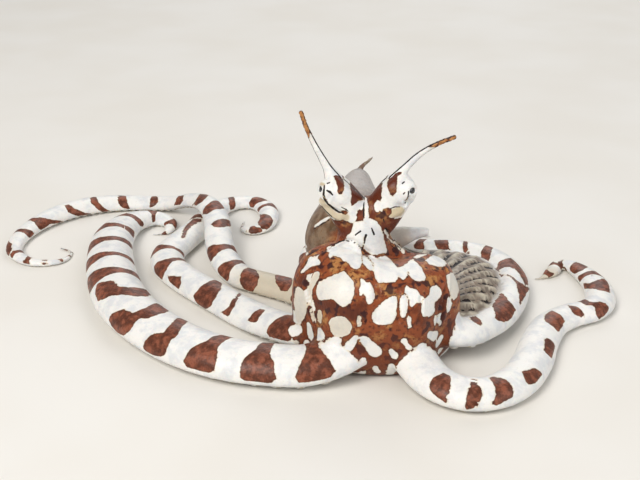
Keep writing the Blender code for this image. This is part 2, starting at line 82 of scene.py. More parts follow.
# The crown of arms and web
CROWN_CENTRE_X = -1.9
CROWN_RADIUS = 21.8
CROWN_HEIGHT = 28.8
CROWN_LEAN = 1.6  # how much the right side stands higher, and the left side lower
BACK_HEIGHT = 12.0  # under the mantle
BACK_BEARING = 118.0  # in degrees from the front, where the crown falls from its top to its back
BACK_SPREAD = 9.0
CROWN_PROFILE = [  # share of the radius and of the height, from the foot to the top
    (0.80, 0.0), (0.90, 0.06), (0.975, 0.22), (1.0, 0.42), (0.995, 0.60), (0.95, 0.77), (0.84, 0.90),
    (0.66, 0.975), (0.48, 1.0), (0.32, 0.97), (0.16, 0.93),
]
RIDGE_HEIGHT = 1.9  # of the web over each arm's root
RIDGE_WIDTH = 0.26  # in radians

# The head, its stalks and eyes
HEAD_FOOT = 33.5  # the head's mesh lies above this height
HEAD_BACK = 9.0  # and in front of this
FRONT_THINNING = 0.15  # how readily the mesh of the crown's front is thinned
ARM_THINNING = 0.5
SKIN_LIFT = 0.05  # of the skin over the floor, at the least
NECK_X = -5.0
NECK_SECTIONS = [  # x, y, z, half width, half depth
    (-4.5, 1.5, 17.0, 8.5, 8.0),
    (-5.0, 1.5, 24.0, 8.2, 7.6),
    (-5.5, 1.2, 30.0, 6.9, 6.8),
    (-5.2, 1.0, 34.5, 6.6, 6.2),
    (-4.9, 0.8, 38.2, 6.4, 5.2),
    (-5.1, 0.8, 40.3, 4.4, 3.8),
    (-5.3, 0.8, 41.4, 1.9, 2.2),
]
STALK_ROOT_SPREAD = 2.6
STALK_ROOT_HEIGHT = 35.5
STALK_ROOT_RADIUS = 5.3
EYE_BULBS = {"right": (-11.9, 0.0, 43.4), "left": (2.7, 0.0, 43.9)}
BULB_RADIUS = 4.9
BULB_SLOPES = {  # each bulb is flat where it faces the other one: direction, and reach from its middle
    "right": ((0.671, 0.0, 0.741), 3.2),
    "left": ((-0.66, 0.0, 0.75), 3.75),
}
EYE_RADIUS = 2.7
EYE_LOOK = {"right": (-0.87, -0.38, 0.31), "left": (0.68, -0.69, 0.26)}
EYE_PROUD = 0.55  # of the eye out of its bulb
EYE_DEPTH = BULB_RADIUS - EYE_RADIUS + EYE_PROUD  # of the eye's centre from its bulb's
LID_RING = 1.22  # half the level width of the lids' edge
LID_SLIT = 0.68  # of that, the slit's half height
PUPIL_WIDTH = 1.5  # from the pupil's middle to its end
PUPIL_HEIGHT = 0.7  # and to its upper edge
HORN_WIDTH = 2.7
HORN_TIP_WIDTH = 1.0
HORN_TAPER = 1.8
HORN_STUB = 3.8  # of the horn's root, drawn into the skin
HORN_SIDES = 40
HORN_LINE = (math.radians(68.0), 0.24)  # a dark line's bearing from the horn's front, and half its width
HORN_PATHS = {
    "right": [
        (-13.2, 0.6, 46.5), (-15.0, 0.8, 50.0), (-18.0, 1.0, 55.6), (-20.2, 1.2, 60.4), (-21.4, 1.4, 64.0)],
    "left": [(2.4, 0.6, 46.4), (4.4, 0.8, 49.3), (8.2, 1.0, 53.2), (12.4, 1.2, 55.8), (16.8, 1.4, 57.6)],
}

# The mantle and siphon
MANTLE_SECTIONS = [  # x, y, z, half width, half height
    (-5.0, 5.0, 23.5, 6.5, 6.5),
    (-5.8, 8.0, 22.5, 9.2, 9.4),
    (-7.8, 14.0, 21.2, 11.8, 11.6),
    (-8.6, 21.0, 20.8, 12.4, 12.0),
    (-8.2, 28.0, 21.8, 11.2, 11.0),
    (-7.2, 35.0, 24.0, 8.8, 8.8),
    (-6.2, 42.0, 26.8, 5.8, 5.8),
    (-5.4, 47.5, 28.8, 3.6, 3.4),
    (-5.2, 50.5, 29.8, 1.6, 1.5),
]
MANTLE_PAPILLA = [(-5.4, 48.6, 29.6), (-4.4, 50.8, 31.4), (-2.6, 52.2, 32.6), (-0.8, 53.0, 34.0)]
SIPHON_KNOTS = [  # x, y, z, width
    (-1.5, 9.0, 23.4, 7.4), (2.5, 8.0, 26.6, 6.6), (5.8, 7.2, 28.2, 5.2), (8.6, 6.9, 29.0, 3.5),
    (11.4, 7.0, 29.4, 2.6),
]

# The flare from the neck down to the crown on the animal's left, and the web between the crown and the
# second left arm: the places that the flare and the web's gathered edge run through
NECK_FLARE = [(-1.2, 1, 33.5), (0.8, 1, 29.8), (2.4, 1, 28.0), (4.3, 1.5, 26.3), (7.5, 2, 24.3)]
WEB_GATHER = [(12, -9, 8), (17.5, -4, 10.5), (18.8, 3, 11.5), (18, 10, 11), (15, 16.5, 9.5), (9.5, 21, 8)]
WEB_ARCH = 2.6  # how far the web's middle stands over its edges
WEB_RUN = (4.0, 97.0)  # the stretch of the arm that the web hangs on, along it from its root
FLARE_RADIUS = 1.3

# Where flesh runs into flesh, apart from the arms' roots: how far it is smoothed, and round which places
ROOT_REACH = 9.0
JUNCTIONS = [
    (4.0, [(-5.2, 0.8, 37.0)]),
    (5.0, [(4.5, 3.0, 27.5), (0.0, 9.0, 26.0)]),
    (5.0, [(-12.0, 7.0, 26.0), (-5.0, 9.0, 31.0)]),
]

# The arms' sections and suckers
ARM_FLATNESS = 0.54
ARM_END_SHARE = 0.72  # of its middle width, towards which the arm narrows
ARM_TIP_START = 0.72  # of its length, where the fine tip begins
ARM_TIP_POWER = 2.2
ARM_TIP_WIDTH = 1.1
SUCKER_REACH = 0.12  # of a sucker below the arm, of its half height
ARM_WIDEST = 0.42  # below its middle line, of its half height
SUCKER_SHAPE = [(0.72, -0.55), (0.78, 0.25), (1.0, 0.72), (0.82, 1.0), (0.42, 0.55)]  # radius, depth
SUCKER_SIDES = 8
SUCKER_ROOT = 0.82  # how far below the arm's middle line a sucker starts, of its half height

# Each arm: width at the root and at the middle, the side that carries the wide end of each band (+1 is the
# right-hand side of a walk to the tip), and the places that the arm runs through, as x, y and lift
ARMS = {
    "arm_left_1": (13.0, 10.0, 1, [
        (3.5, -9, 6), (7.0, -18, 2.5), (11.5, -26, 0.5), (18.5, -30.8, 0), (26, -29.8, 0), (32.5, -24, 0),
        (37.8, -14.5, 0), (41.6, -4, 0), (46.2, 5, 0), (52.4, 10.3, 0), (59, 13.8, 0), (63.4, 20, 0),
        (64.6, 29, 0), (63.2, 37.6, 0), (60.4, 44.6, 0), (56.6, 46, 0), (54.2, 41.8, 0), (51.4, 39.2, 0),
        (48.2, 37.8, 0)]),
    "arm_left_2": (12.0, 9.6, 1, [
        (8, -5, 7), (18.5, -8.5, 4.5), (26.5, -0.5, 2.5), (32.6, 8.5, 1.6), (37.2, 18.7, 1.2),
        (39.8, 30, 0.9), (38.8, 41.6, 0.8), (34.5, 49.4, 0.8), (28, 53.4, 0.8), (21.4, 55.4, 0.8),
        (15.5, 58.2, 0.4), (12, 62.5, 0), (12, 67.5, 0), (15.5, 71, 0), (19.5, 69.5, 0)]),
    "arm_left_3": (9.0, 7.5, 1, [
        (6, 6, 8), (12, 13.5, 4), (18.5, 18.5, 1), (25.5, 23, 0), (29.6, 30, 0), (27.5, 37.5, 0),
        (20.5, 40.5, 0), (14, 37, 0), (13.6, 30.5, 0), (18.5, 29, 0)]),
    "arm_left_4": (9.5, 7.9, 1, [
        (0.5, 10, 7), (1.5, 20, 1), (1, 31, 0), (-2, 43, 0), (-2, 54, 0), (3, 63, 0), (3.5, 72, 0),
        (-1.5, 76.5, 0), (-5, 72.5, 0), (-2.5, 69.5, 0)]),
    "arm_right_1": (15.0, 16.0, -1, [
        (-6, -9, 6), (-11.5, -16.5, 2.5), (-20, -19.3, 0.3), (-30, -18.5, 0), (-41, -15.5, 0),
        (-52.4, -8.5, 0), (-63, 2.2, 0), (-71.8, 15.5, 0), (-77.6, 30.5, 0), (-81.3, 46, 0), (-83, 61, 0),
        (-80.5, 74, 0), (-73.5, 81, 0), (-67.2, 78.6, 0), (-67.4, 72.4, 0), (-71.8, 71.2, 0)]),
    "arm_right_2": (12.5, 10.4, -1, [
        (-11, -4, 7), (-20.5, -5, 3), (-28.5, 2, 1), (-37, 10.5, 0), (-46.5, 21, 0), (-56, 32, 0),
        (-62.5, 42, 0), (-64, 51, 0), (-61, 60.5, 0), (-57.4, 70, 0), (-55, 79.5, 0), (-52.2, 88.5, 0),
        (-47, 94.8, 0), (-40.4, 95.8, 0), (-35.6, 91, 0), (-34, 83, 0), (-35.6, 75.5, 0), (-39.6, 72.6, 0),
        (-42.6, 76.6, 0), (-42.6, 82, 0)]),
    "arm_right_3": (11.0, 7.6, -1, [
        (-10, 7, 7), (-18.4, 17, 2), (-25, 25.3, 0), (-32.5, 30, 0), (-40, 35, 0), (-45.5, 43.5, 1.5),
        (-48.3, 53.5, 3.8), (-49.6, 63, 5.6), (-51.4, 71.5, 6.0), (-55, 79.5, 6.2), (-60.6, 86.8, 4.2),
        (-68.5, 92.3, 1), (-79, 94.8, 0), (-91, 93.4, 0), (-101.6, 88, 0), (-109.6, 79, 0), (-114, 67.5, 0),
        (-113.6, 56, 0), (-106.6, 48.6, 0), (-98, 49.6, 0), (-95.6, 56.6, 0), (-100, 60.6, 0)]),
    "arm_right_4": (9.5, 7.9, -1, [
        (-5, 10, 7), (-9, 20, 1), (-15, 31, 0), (-19, 43, 0), (-18.5, 55, 0), (-12.5, 64, 0), (-9.5, 74, 0),
        (-10.5, 84, 0), (-16, 87.5, 0), (-18.5, 83, 0), (-15.5, 80.5, 0)]),
}
# Where an arm is thicker, or below 0 thinner, than by the rule: share of its length, spread, amount
ARM_SWELLS = {
    "arm_left_1": [(0.965, 0.03, 0.9)],
    "arm_right_2": [(0.76, 0.06, -0.2), (0.93, 0.045, 0.35)],
    "arm_right_3": [(0.67, 0.09, 0.34)],
}

# Pale blotches of the crown and neck, as outlines: pixel across, pixel down
PALE_OUTLINES = {
    "left_crest": [
        (324.5, 252), (330, 248), (334, 246), (338, 242), (344, 240.5), (350, 241), (355, 242.7),
        (359, 246), (361, 250), (361.7, 256), (362, 262), (360.5, 267), (357, 269.3), (354, 269),
        (351, 266.5), (349, 264), (346, 261.5), (342.5, 260.5), (340, 257.5), (336, 255.7), (332, 256.3),
        (329.5, 259), (328.5, 256), (329, 252.5)],
    "left_rim": [
        (300, 273), (302, 269.5), (305, 266), (308.5, 262), (312, 259.3), (316, 257), (319.5, 259),
        (320.5, 262), (319, 265), (313, 266), (309, 267.8), (306, 270.5), (303, 273)],
    "strip": [
        (311.5, 276), (314, 272.5), (319, 272), (320, 274), (318, 279), (316, 283), (314, 286), (312, 290),
        (311.5, 300), (312, 307), (314.5, 315), (316, 323), (313, 323), (310, 312), (308.5, 300),
        (307.5, 292), (309.5, 284)],
    "left_leaf": [
        (295, 289), (298, 286.7), (301, 288), (304, 292), (306, 298), (307, 305), (306.5, 312), (304, 319),
        (300, 324), (296, 322), (294.5, 312), (294, 299)],
    "big_left": [
        (316.5, 291), (317.5, 286), (319.5, 281.8), (325, 279), (330, 276.5), (336, 274.2), (341, 272),
        (344.3, 271), (347, 273.5), (350, 277.5), (353.5, 281.5), (354.5, 286), (354.3, 292), (353.5, 298),
        (350.5, 302.5), (346.5, 305.5), (343, 307), (340, 305.5), (337, 303), (334.5, 300.5), (331, 299.2),
        (326, 299.5), (320, 300.5), (318, 299), (316.8, 295)],
    "foot_oval": [
        (328.5, 322), (331.5, 318.3), (337, 316.5), (342, 316.3), (347, 318.8), (351, 322.5), (352, 328),
        (349, 334), (342, 337), (334, 336), (330, 330)],
    "foot_strip": [(318, 310), (321, 310.5), (322.3, 316), (321.5, 323), (318, 323), (316.7, 316)],
    "middle_leaf": [
        (362, 256), (364, 255), (367, 257), (370, 260.5), (372.5, 264.5), (373.3, 268.5), (371.5, 270.5),
        (368.5, 269.5), (365.5, 266.5), (363.5, 263), (362, 259.5)],
    "middle_zigzag": [
        (360, 278), (362, 277.7), (364, 280.5), (366, 283), (369, 281.5), (371.3, 285), (373.7, 289),
        (375, 294), (374.5, 299), (372.5, 303), (370, 305), (367.5, 304), (366, 300), (365.3, 295.5),
        (363.3, 293), (361.3, 296), (359.5, 295), (359.3, 289), (360.3, 284)],
    "right_big": [
        (373.5, 270), (374, 263.5), (376, 259.5), (380, 256.7), (385, 256), (389, 258), (392, 261),
        (395, 265), (397.5, 267.5), (401, 266.5), (404.5, 265), (408, 262), (410, 259.7), (413, 259),
        (416, 261.5), (419.5, 265), (422, 268), (423.3, 271.5), (424.7, 275), (426, 278), (424, 280.5),
        (420, 281.5), (416, 281), (412.5, 279), (409.8, 276), (408, 272), (406.6, 276), (405, 279.5),
        (402.5, 280.5), (400, 278), (398.5, 275), (397.7, 279.5), (395.5, 282), (390, 282), (384, 282.7),
        (379, 283), (376, 279.5), (374, 275)],
    "big_leaf": [
        (371.5, 317), (373.5, 312), (378, 306.5), (383, 302), (388, 298), (393, 295.7), (396.5, 296.5),
        (397.5, 301), (397, 308), (396, 315), (394.5, 320.5), (391, 323.5), (385, 325), (378, 324.5),
        (373, 322)],
    "narrow_leaf": [
        (399.7, 299), (402, 294.7), (405, 294.5), (407.5, 298.5), (408.2, 305), (407, 312), (404.5, 317),
        (402, 317.5), (400, 314), (399.2, 306)],
    "right_zigzag": [
        (404.3, 288), (406.5, 284.5), (410, 288), (412.5, 289), (417, 289.5), (419, 293), (421, 296.3),
        (423.7, 296.5), (422, 300), (420, 303), (417, 301.5), (415, 304.5), (412.5, 307.5), (410, 306),
        (409.5, 301), (408, 296.5), (404.8, 292.5)],
    "right_double": [
        (430, 288.5), (432.7, 285.7), (437, 285.3), (440, 288), (442, 292), (441, 296.5), (438.3, 299.5),
        (435.3, 302.5), (434.5, 307), (435, 311), (432, 315.5), (428, 317), (424, 316.5), (421.5, 313),
        (421, 308), (422.3, 302), (425, 298), (429, 295.5), (430.2, 292)],
    "right_top": [
        (425.5, 260), (430, 256.5), (436, 254.7), (441, 257.5), (445, 260.5), (446.5, 264), (443, 267),
        (438, 266.5), (433, 265.5), (429, 264)],
    "right_leaf": [
        (446.5, 276), (450, 273), (456, 271.5), (459.5, 275), (459.7, 283), (459, 291), (457, 297),
        (454, 300), (451, 297.5), (449, 291), (447.3, 284)],
    "right_strip": [
        (446.5, 300), (448.5, 296), (451, 299), (452, 304), (450.3, 309), (448, 313.5), (446.3, 310)],
    "right_rim": [(413, 257.3), (417, 255), (424, 254), (427, 254.5), (422, 256.5), (417, 258.5)],
    "foot_small": [(407, 318), (409, 315.5), (411.5, 319), (411.5, 327), (408.5, 328), (406.8, 323)],
    "foot_middle": [
        (356.7, 322), (357.5, 314.5), (359.3, 318), (361.5, 312), (362, 320), (361, 326), (357.5, 327)],
    "foot_right": [(433.5, 321), (435, 314), (437, 316), (437, 322), (434.5, 326)],
    "neck": [
        (344, 240.8), (347, 236), (351, 232), (352.5, 226.5), (354, 221.5), (358, 221.5), (362.5, 219.5),
        (364.7, 215.5), (370, 215), (372.5, 219), (377.5, 222), (381, 228), (383.5, 235), (384.5, 242),
        (387.5, 249), (386.5, 252.8), (381, 253.7), (376, 255), (371, 254), (367, 252), (364.5, 248.5),
        (361, 247), (357, 243.5), (351, 241.2)],
}

# Tones of the skin between them: pixel across, pixel down, spread in pixels, and how ochre or, below 0,
# how dark
SKIN_TONES = [
    (340.5, 194.5, 4, 1.0), (372, 206, 4, 0.5), (385.5, 208, 6, 1.2), (381, 215, 5, 1.0),
    (343, 224, 5, 0.8), (399, 192, 4, 0.7), (347, 213, 3, 0.8), (360, 217, 3, 0.5), (362, 196, 5, -0.4),
    (374, 194, 5, -0.6), (338, 263, 9, 1.0), (350, 276, 7, 0.9), (365, 276, 7, 0.6), (389, 289, 6, 1.0),
    (446, 268, 8, 0.7), (432, 279, 5, 0.5), (303, 281, 8, -0.9), (316, 303, 7, -1.0), (330, 307, 9, -1.0),
    (345, 311, 8, -0.9), (363, 306, 7, -0.8), (322, 268, 5, -0.6), (380, 293, 5, -0.6), (400, 288, 5, -0.5),
    (416, 309, 6, -0.6), (440, 304, 8, -1.1), (422, 321, 8, -0.8), (356, 316, 7, -0.9), (309, 312, 6, -0.8),
    (430, 270, 5, -0.3),
]

# Pale places of the head, as strokes: pixel across, pixel down, radius in pixels
PALE_STROKES = {
    "left_bag": [(320.6, 198.3, 2.6), (326.8, 208.8, 3.6), (335.4, 216, 3.6), (346, 217.4, 3.4)],
    "right_bag": [(391, 213.6, 3.6), (399.5, 211.5, 5)],
    "brow_left": [(361, 201.5, 1.8), (361, 208, 1.6)],
    "brow_middle": [(366.5, 201.5, 1.9), (367.2, 210, 2.4), (367.6, 217, 2.8)],
    "brow_island": [(377.2, 203, 2.2), (377, 209, 2.6)],
    "cheek": [(353.6, 211.7, 4.3), (352, 219, 3.5)],
    "flare": [(385.5, 231, 1), (389.5, 239, 1.2), (396, 245.5, 1.4), (404, 252, 1.1)],
    "siphon_root": [(403.7, 236.3, 8.6)],
    # Painted highlight: a light rim along the mantle's shaded left edge
    "mantle_rim": [(307, 227, 0.9), (305, 236, 1.1), (305.5, 246, 1.1), (307, 254, 0.9)],
    "mantle_streak": [(315.5, 226.5, 1), (322, 221.5, 1.3), (329, 217.5, 1)],
    "lid_dome": [(321.5, 184, 1.5), (323.5, 184.4, 1.3)],
}
# How beige a pale outline or stroke is
TANNED = {
    "left_bag": 0.9, "right_bag": 1.0, "left_leaf": 0.45, "big_left": 0.2, "strip": 0.6, "foot_oval": 0.5,
    "foot_strip": 0.8, "right_leaf": 0.4, "foot_middle": 0.6, "flare": 0.3, "siphon_root": 1.0,
    "lid_dome": 1.0,
}

# Rust patches of the head, as outlines: pixel across, pixel down
RUST_PATCHES = {
    "left_tear": [
        (330, 171), (333, 172.5), (338.5, 175.5), (343, 179.5), (344.3, 183.5), (344, 189.5), (342, 194.5),
        (339, 194.5), (337.2, 191), (337.6, 186.5), (336.2, 181), (334.3, 177.5), (331, 174.5)],
    "left_triangle": [
        (349, 183), (352, 187), (357.5, 192), (363, 197), (363.5, 200), (360.5, 200), (357.5, 202),
        (354, 204.8), (351.5, 205.7), (351, 201), (351.5, 196), (351, 190.5), (350, 185.5)],
    "right_tear": [
        (403, 169), (401.3, 173), (398, 176), (397, 181), (396.5, 191.5), (394.6, 194), (393, 196.5),
        (390.3, 195), (388.8, 190.5), (387, 184.7), (387.4, 181), (390.3, 177.5), (393, 174), (399, 171.7)],
    "right_triangle": [
        (382.6, 181), (381.7, 193), (380.7, 201.5), (377, 200), (374.3, 204), (374, 209), (376, 212.5),
        (379.5, 212), (378.8, 216), (377, 221), (369.2, 218), (368.7, 208.5), (366.3, 197), (375, 187.5)],
    "brow": [(358, 210.5), (361, 211), (364, 207), (364.4, 216), (363, 221), (358.5, 220.5), (356.3, 215)],
    "lid_foot": [(341.5, 211), (346, 210.5), (348.6, 212.5), (346, 214.8), (342.5, 214)],
    "left_neck": [(336, 221), (343, 219.8), (348, 221), (349, 228), (347, 236), (341, 238), (336.5, 231)],
    "right_patch": [
        (383, 209), (388, 207.5), (392.2, 209), (391, 214), (388.5, 217), (388.5, 224), (386, 229),
        (381, 227), (379.7, 221), (381, 215)],
}
RUST_STROKES = {
    "face_line": [(365, 237.5, 0.9), (364, 242, 0.7), (362.7, 248, 0.8)],
    "flare_a": [(386, 238, 1), (395, 246, 1.6), (404, 256, 1.8)],
    "flare_b": [(389, 237, 0.8), (400, 245, 1.2), (408, 254, 1.2)],
}

# Thin black lines
INK_STROKES = {
    "flare_edge": [(388, 230, 0.6), (392, 238, 0.6), (399, 244.5, 0.7), (407, 250.5, 0.6)],
    "flare_inner": [(383, 232.5, 0.5), (386.5, 240.5, 0.5), (392.5, 246.5, 0.6), (400, 252, 0.5)],
    "mantle_streak": [(314, 229, 0.7), (320.5, 224.5, 0.8), (329, 220, 0.8)],
    "mantle_outline": [
        (331, 176, 0.5), (338, 170.5, 0.6), (347, 168, 0.6), (358, 169, 0.6), (366, 172, 0.7)],
    "left_lid": [
        (325, 179, 0.6), (324.2, 186.6, 0.8), (323.5, 195, 1.2), (325, 200, 1.2), (328.5, 204.3, 1.1),
        (333, 208, 1.1), (338.6, 211.9, 1.0), (343.4, 212.9, 0.7)],
    "left_lid_foot": [(341.5, 207.2, 0.4), (346.2, 209.5, 0.6), (348.2, 211.5, 0.4)],
    "right_lid": [(408.5, 191.4, 0.7), (408, 197, 0.8), (405, 203.3, 0.6)],
    "right_brow": [
        (401, 168.5, 0.6), (394, 173.2, 0.7), (388.3, 175.8, 0.7), (383.6, 180, 0.8), (376, 186.8, 0.8),
        (369.5, 192, 0.8), (364.4, 197, 0.7)],
    "left_brow": [
        (331, 170, 0.6), (335.2, 173.4, 0.7), (342.4, 177.7, 0.7), (347.2, 182, 0.7), (352, 187, 0.7),
        (357.7, 192, 0.7), (363.4, 197.1, 0.7)],
    "brow_middle": [(364, 198, 0.7), (363.7, 208, 0.8), (363.5, 217, 0.6)],
    "mark_left": [(354, 235.9, 0.7), (360.6, 231.1, 0.9)],
    "mark_right": [(371.6, 228.2, 0.7), (374, 234.4, 1.1)],
    "mark_middle": [(366, 235.2, 1.3), (364.8, 240, 0.9), (363.6, 246.5, 0.7)],
    "spot_a": [(327, 190.5, 0.8), (330, 192, 1.3), (332.4, 194.8, 0.8)],
    "spot_b": [(327.3, 183.3, 0.8), (329.6, 182.6, 0.7)],
    "spot_c": [(403.4, 193.8, 0.8), (404.9, 192.4, 0.6)],
    "spot_d": [(402.3, 183.4, 0.7), (404.3, 181.8, 0.7)],
    "left_bag": [(321.8, 206.2, 0.5), (326, 211.5, 0.6), (331, 215.8, 0.6), (335.7, 219.6, 0.5)],
    "right_bag": [(390.3, 208.6, 0.5), (395, 206.8, 0.6), (399.8, 206.9, 0.5)],
    "triangle_edge": [(382.3, 183, 0.6), (381.5, 198.3, 0.5)],
    "lobe_crest": [
        (305, 263.5, 0.6), (313.7, 256, 0.7), (324.2, 251, 0.7), (332.8, 246.3, 0.7), (338.6, 242, 0.8),
        (344.3, 240.3, 0.8), (352, 241.4, 0.8), (357.7, 244.3, 0.9), (361.6, 248.5, 0.9), (367, 254, 0.7)],
    "right_flare": [(383.4, 219, 0.6), (386, 229, 0.8), (393, 241.5, 0.8), (401, 249.6, 0.6)],
}

# Folds pressed into the skin: pixel across, pixel down, half width in pixels; then the depth
FOLDS = {
    "leaf_fold": (1.1, [(311, 272, 2.2), (307.5, 285, 2.4), (309, 300, 2.4), (314, 322, 2.4)]),
    "lobe_crest": (0.8, [
        (313, 257, 2), (326, 249.5, 2), (342, 240.5, 2), (352, 240.5, 2.2), (362, 248, 2.4),
        (373, 257, 2.2)]),
    "middle_valley": (0.7, [(373, 258, 2.6), (373, 275, 3), (376, 292, 3), (376, 322, 3)]),
    "pleat_a": (0.5, [(352, 303, 1.6), (354, 322, 1.8)]),
    "pleat_b": (0.5, [(357, 300, 1.4), (359, 322, 1.6)]),
    "pleat_c": (0.5, [(365, 300, 1.4), (366.5, 322, 1.6)]),
    "pleat_d": (0.6, [(398.5, 292, 1.8), (399, 322, 2)]),
    "pleat_e": (0.5, [(407.5, 300, 1.6), (407, 322, 1.8)]),
    "pleat_f": (0.6, [(421, 298, 1.8), (419.5, 322, 2)]),
    "pleat_g": (0.6, [(441, 300, 1.8), (437, 322, 2)]),
    "right_fold": (0.9, [(446, 270, 1.8), (445, 292, 2.2), (441, 320, 2.4)]),
    "left_lid": (0.45, [(323.5, 194, 1.4), (325.5, 200, 1.6), (332.5, 207.5, 1.6), (341, 212.4, 1.4)]),
    "left_bag": (-0.75, [(321, 201, 3.4), (326.5, 208.5, 3.8), (333, 214.5, 4), (340, 217.5, 3.6)]),
    "right_lid": (0.4, [(408, 196.4, 1.4), (404.5, 204, 1.6)]),
    "right_bag": (-0.55, [(405, 206, 3), (399.5, 212, 4), (392, 215.5, 3.6)]),
    "right_flare": (0.4, [(386, 229, 1.6), (393, 241.5, 1.6), (401, 249.6, 1.4)]),
}

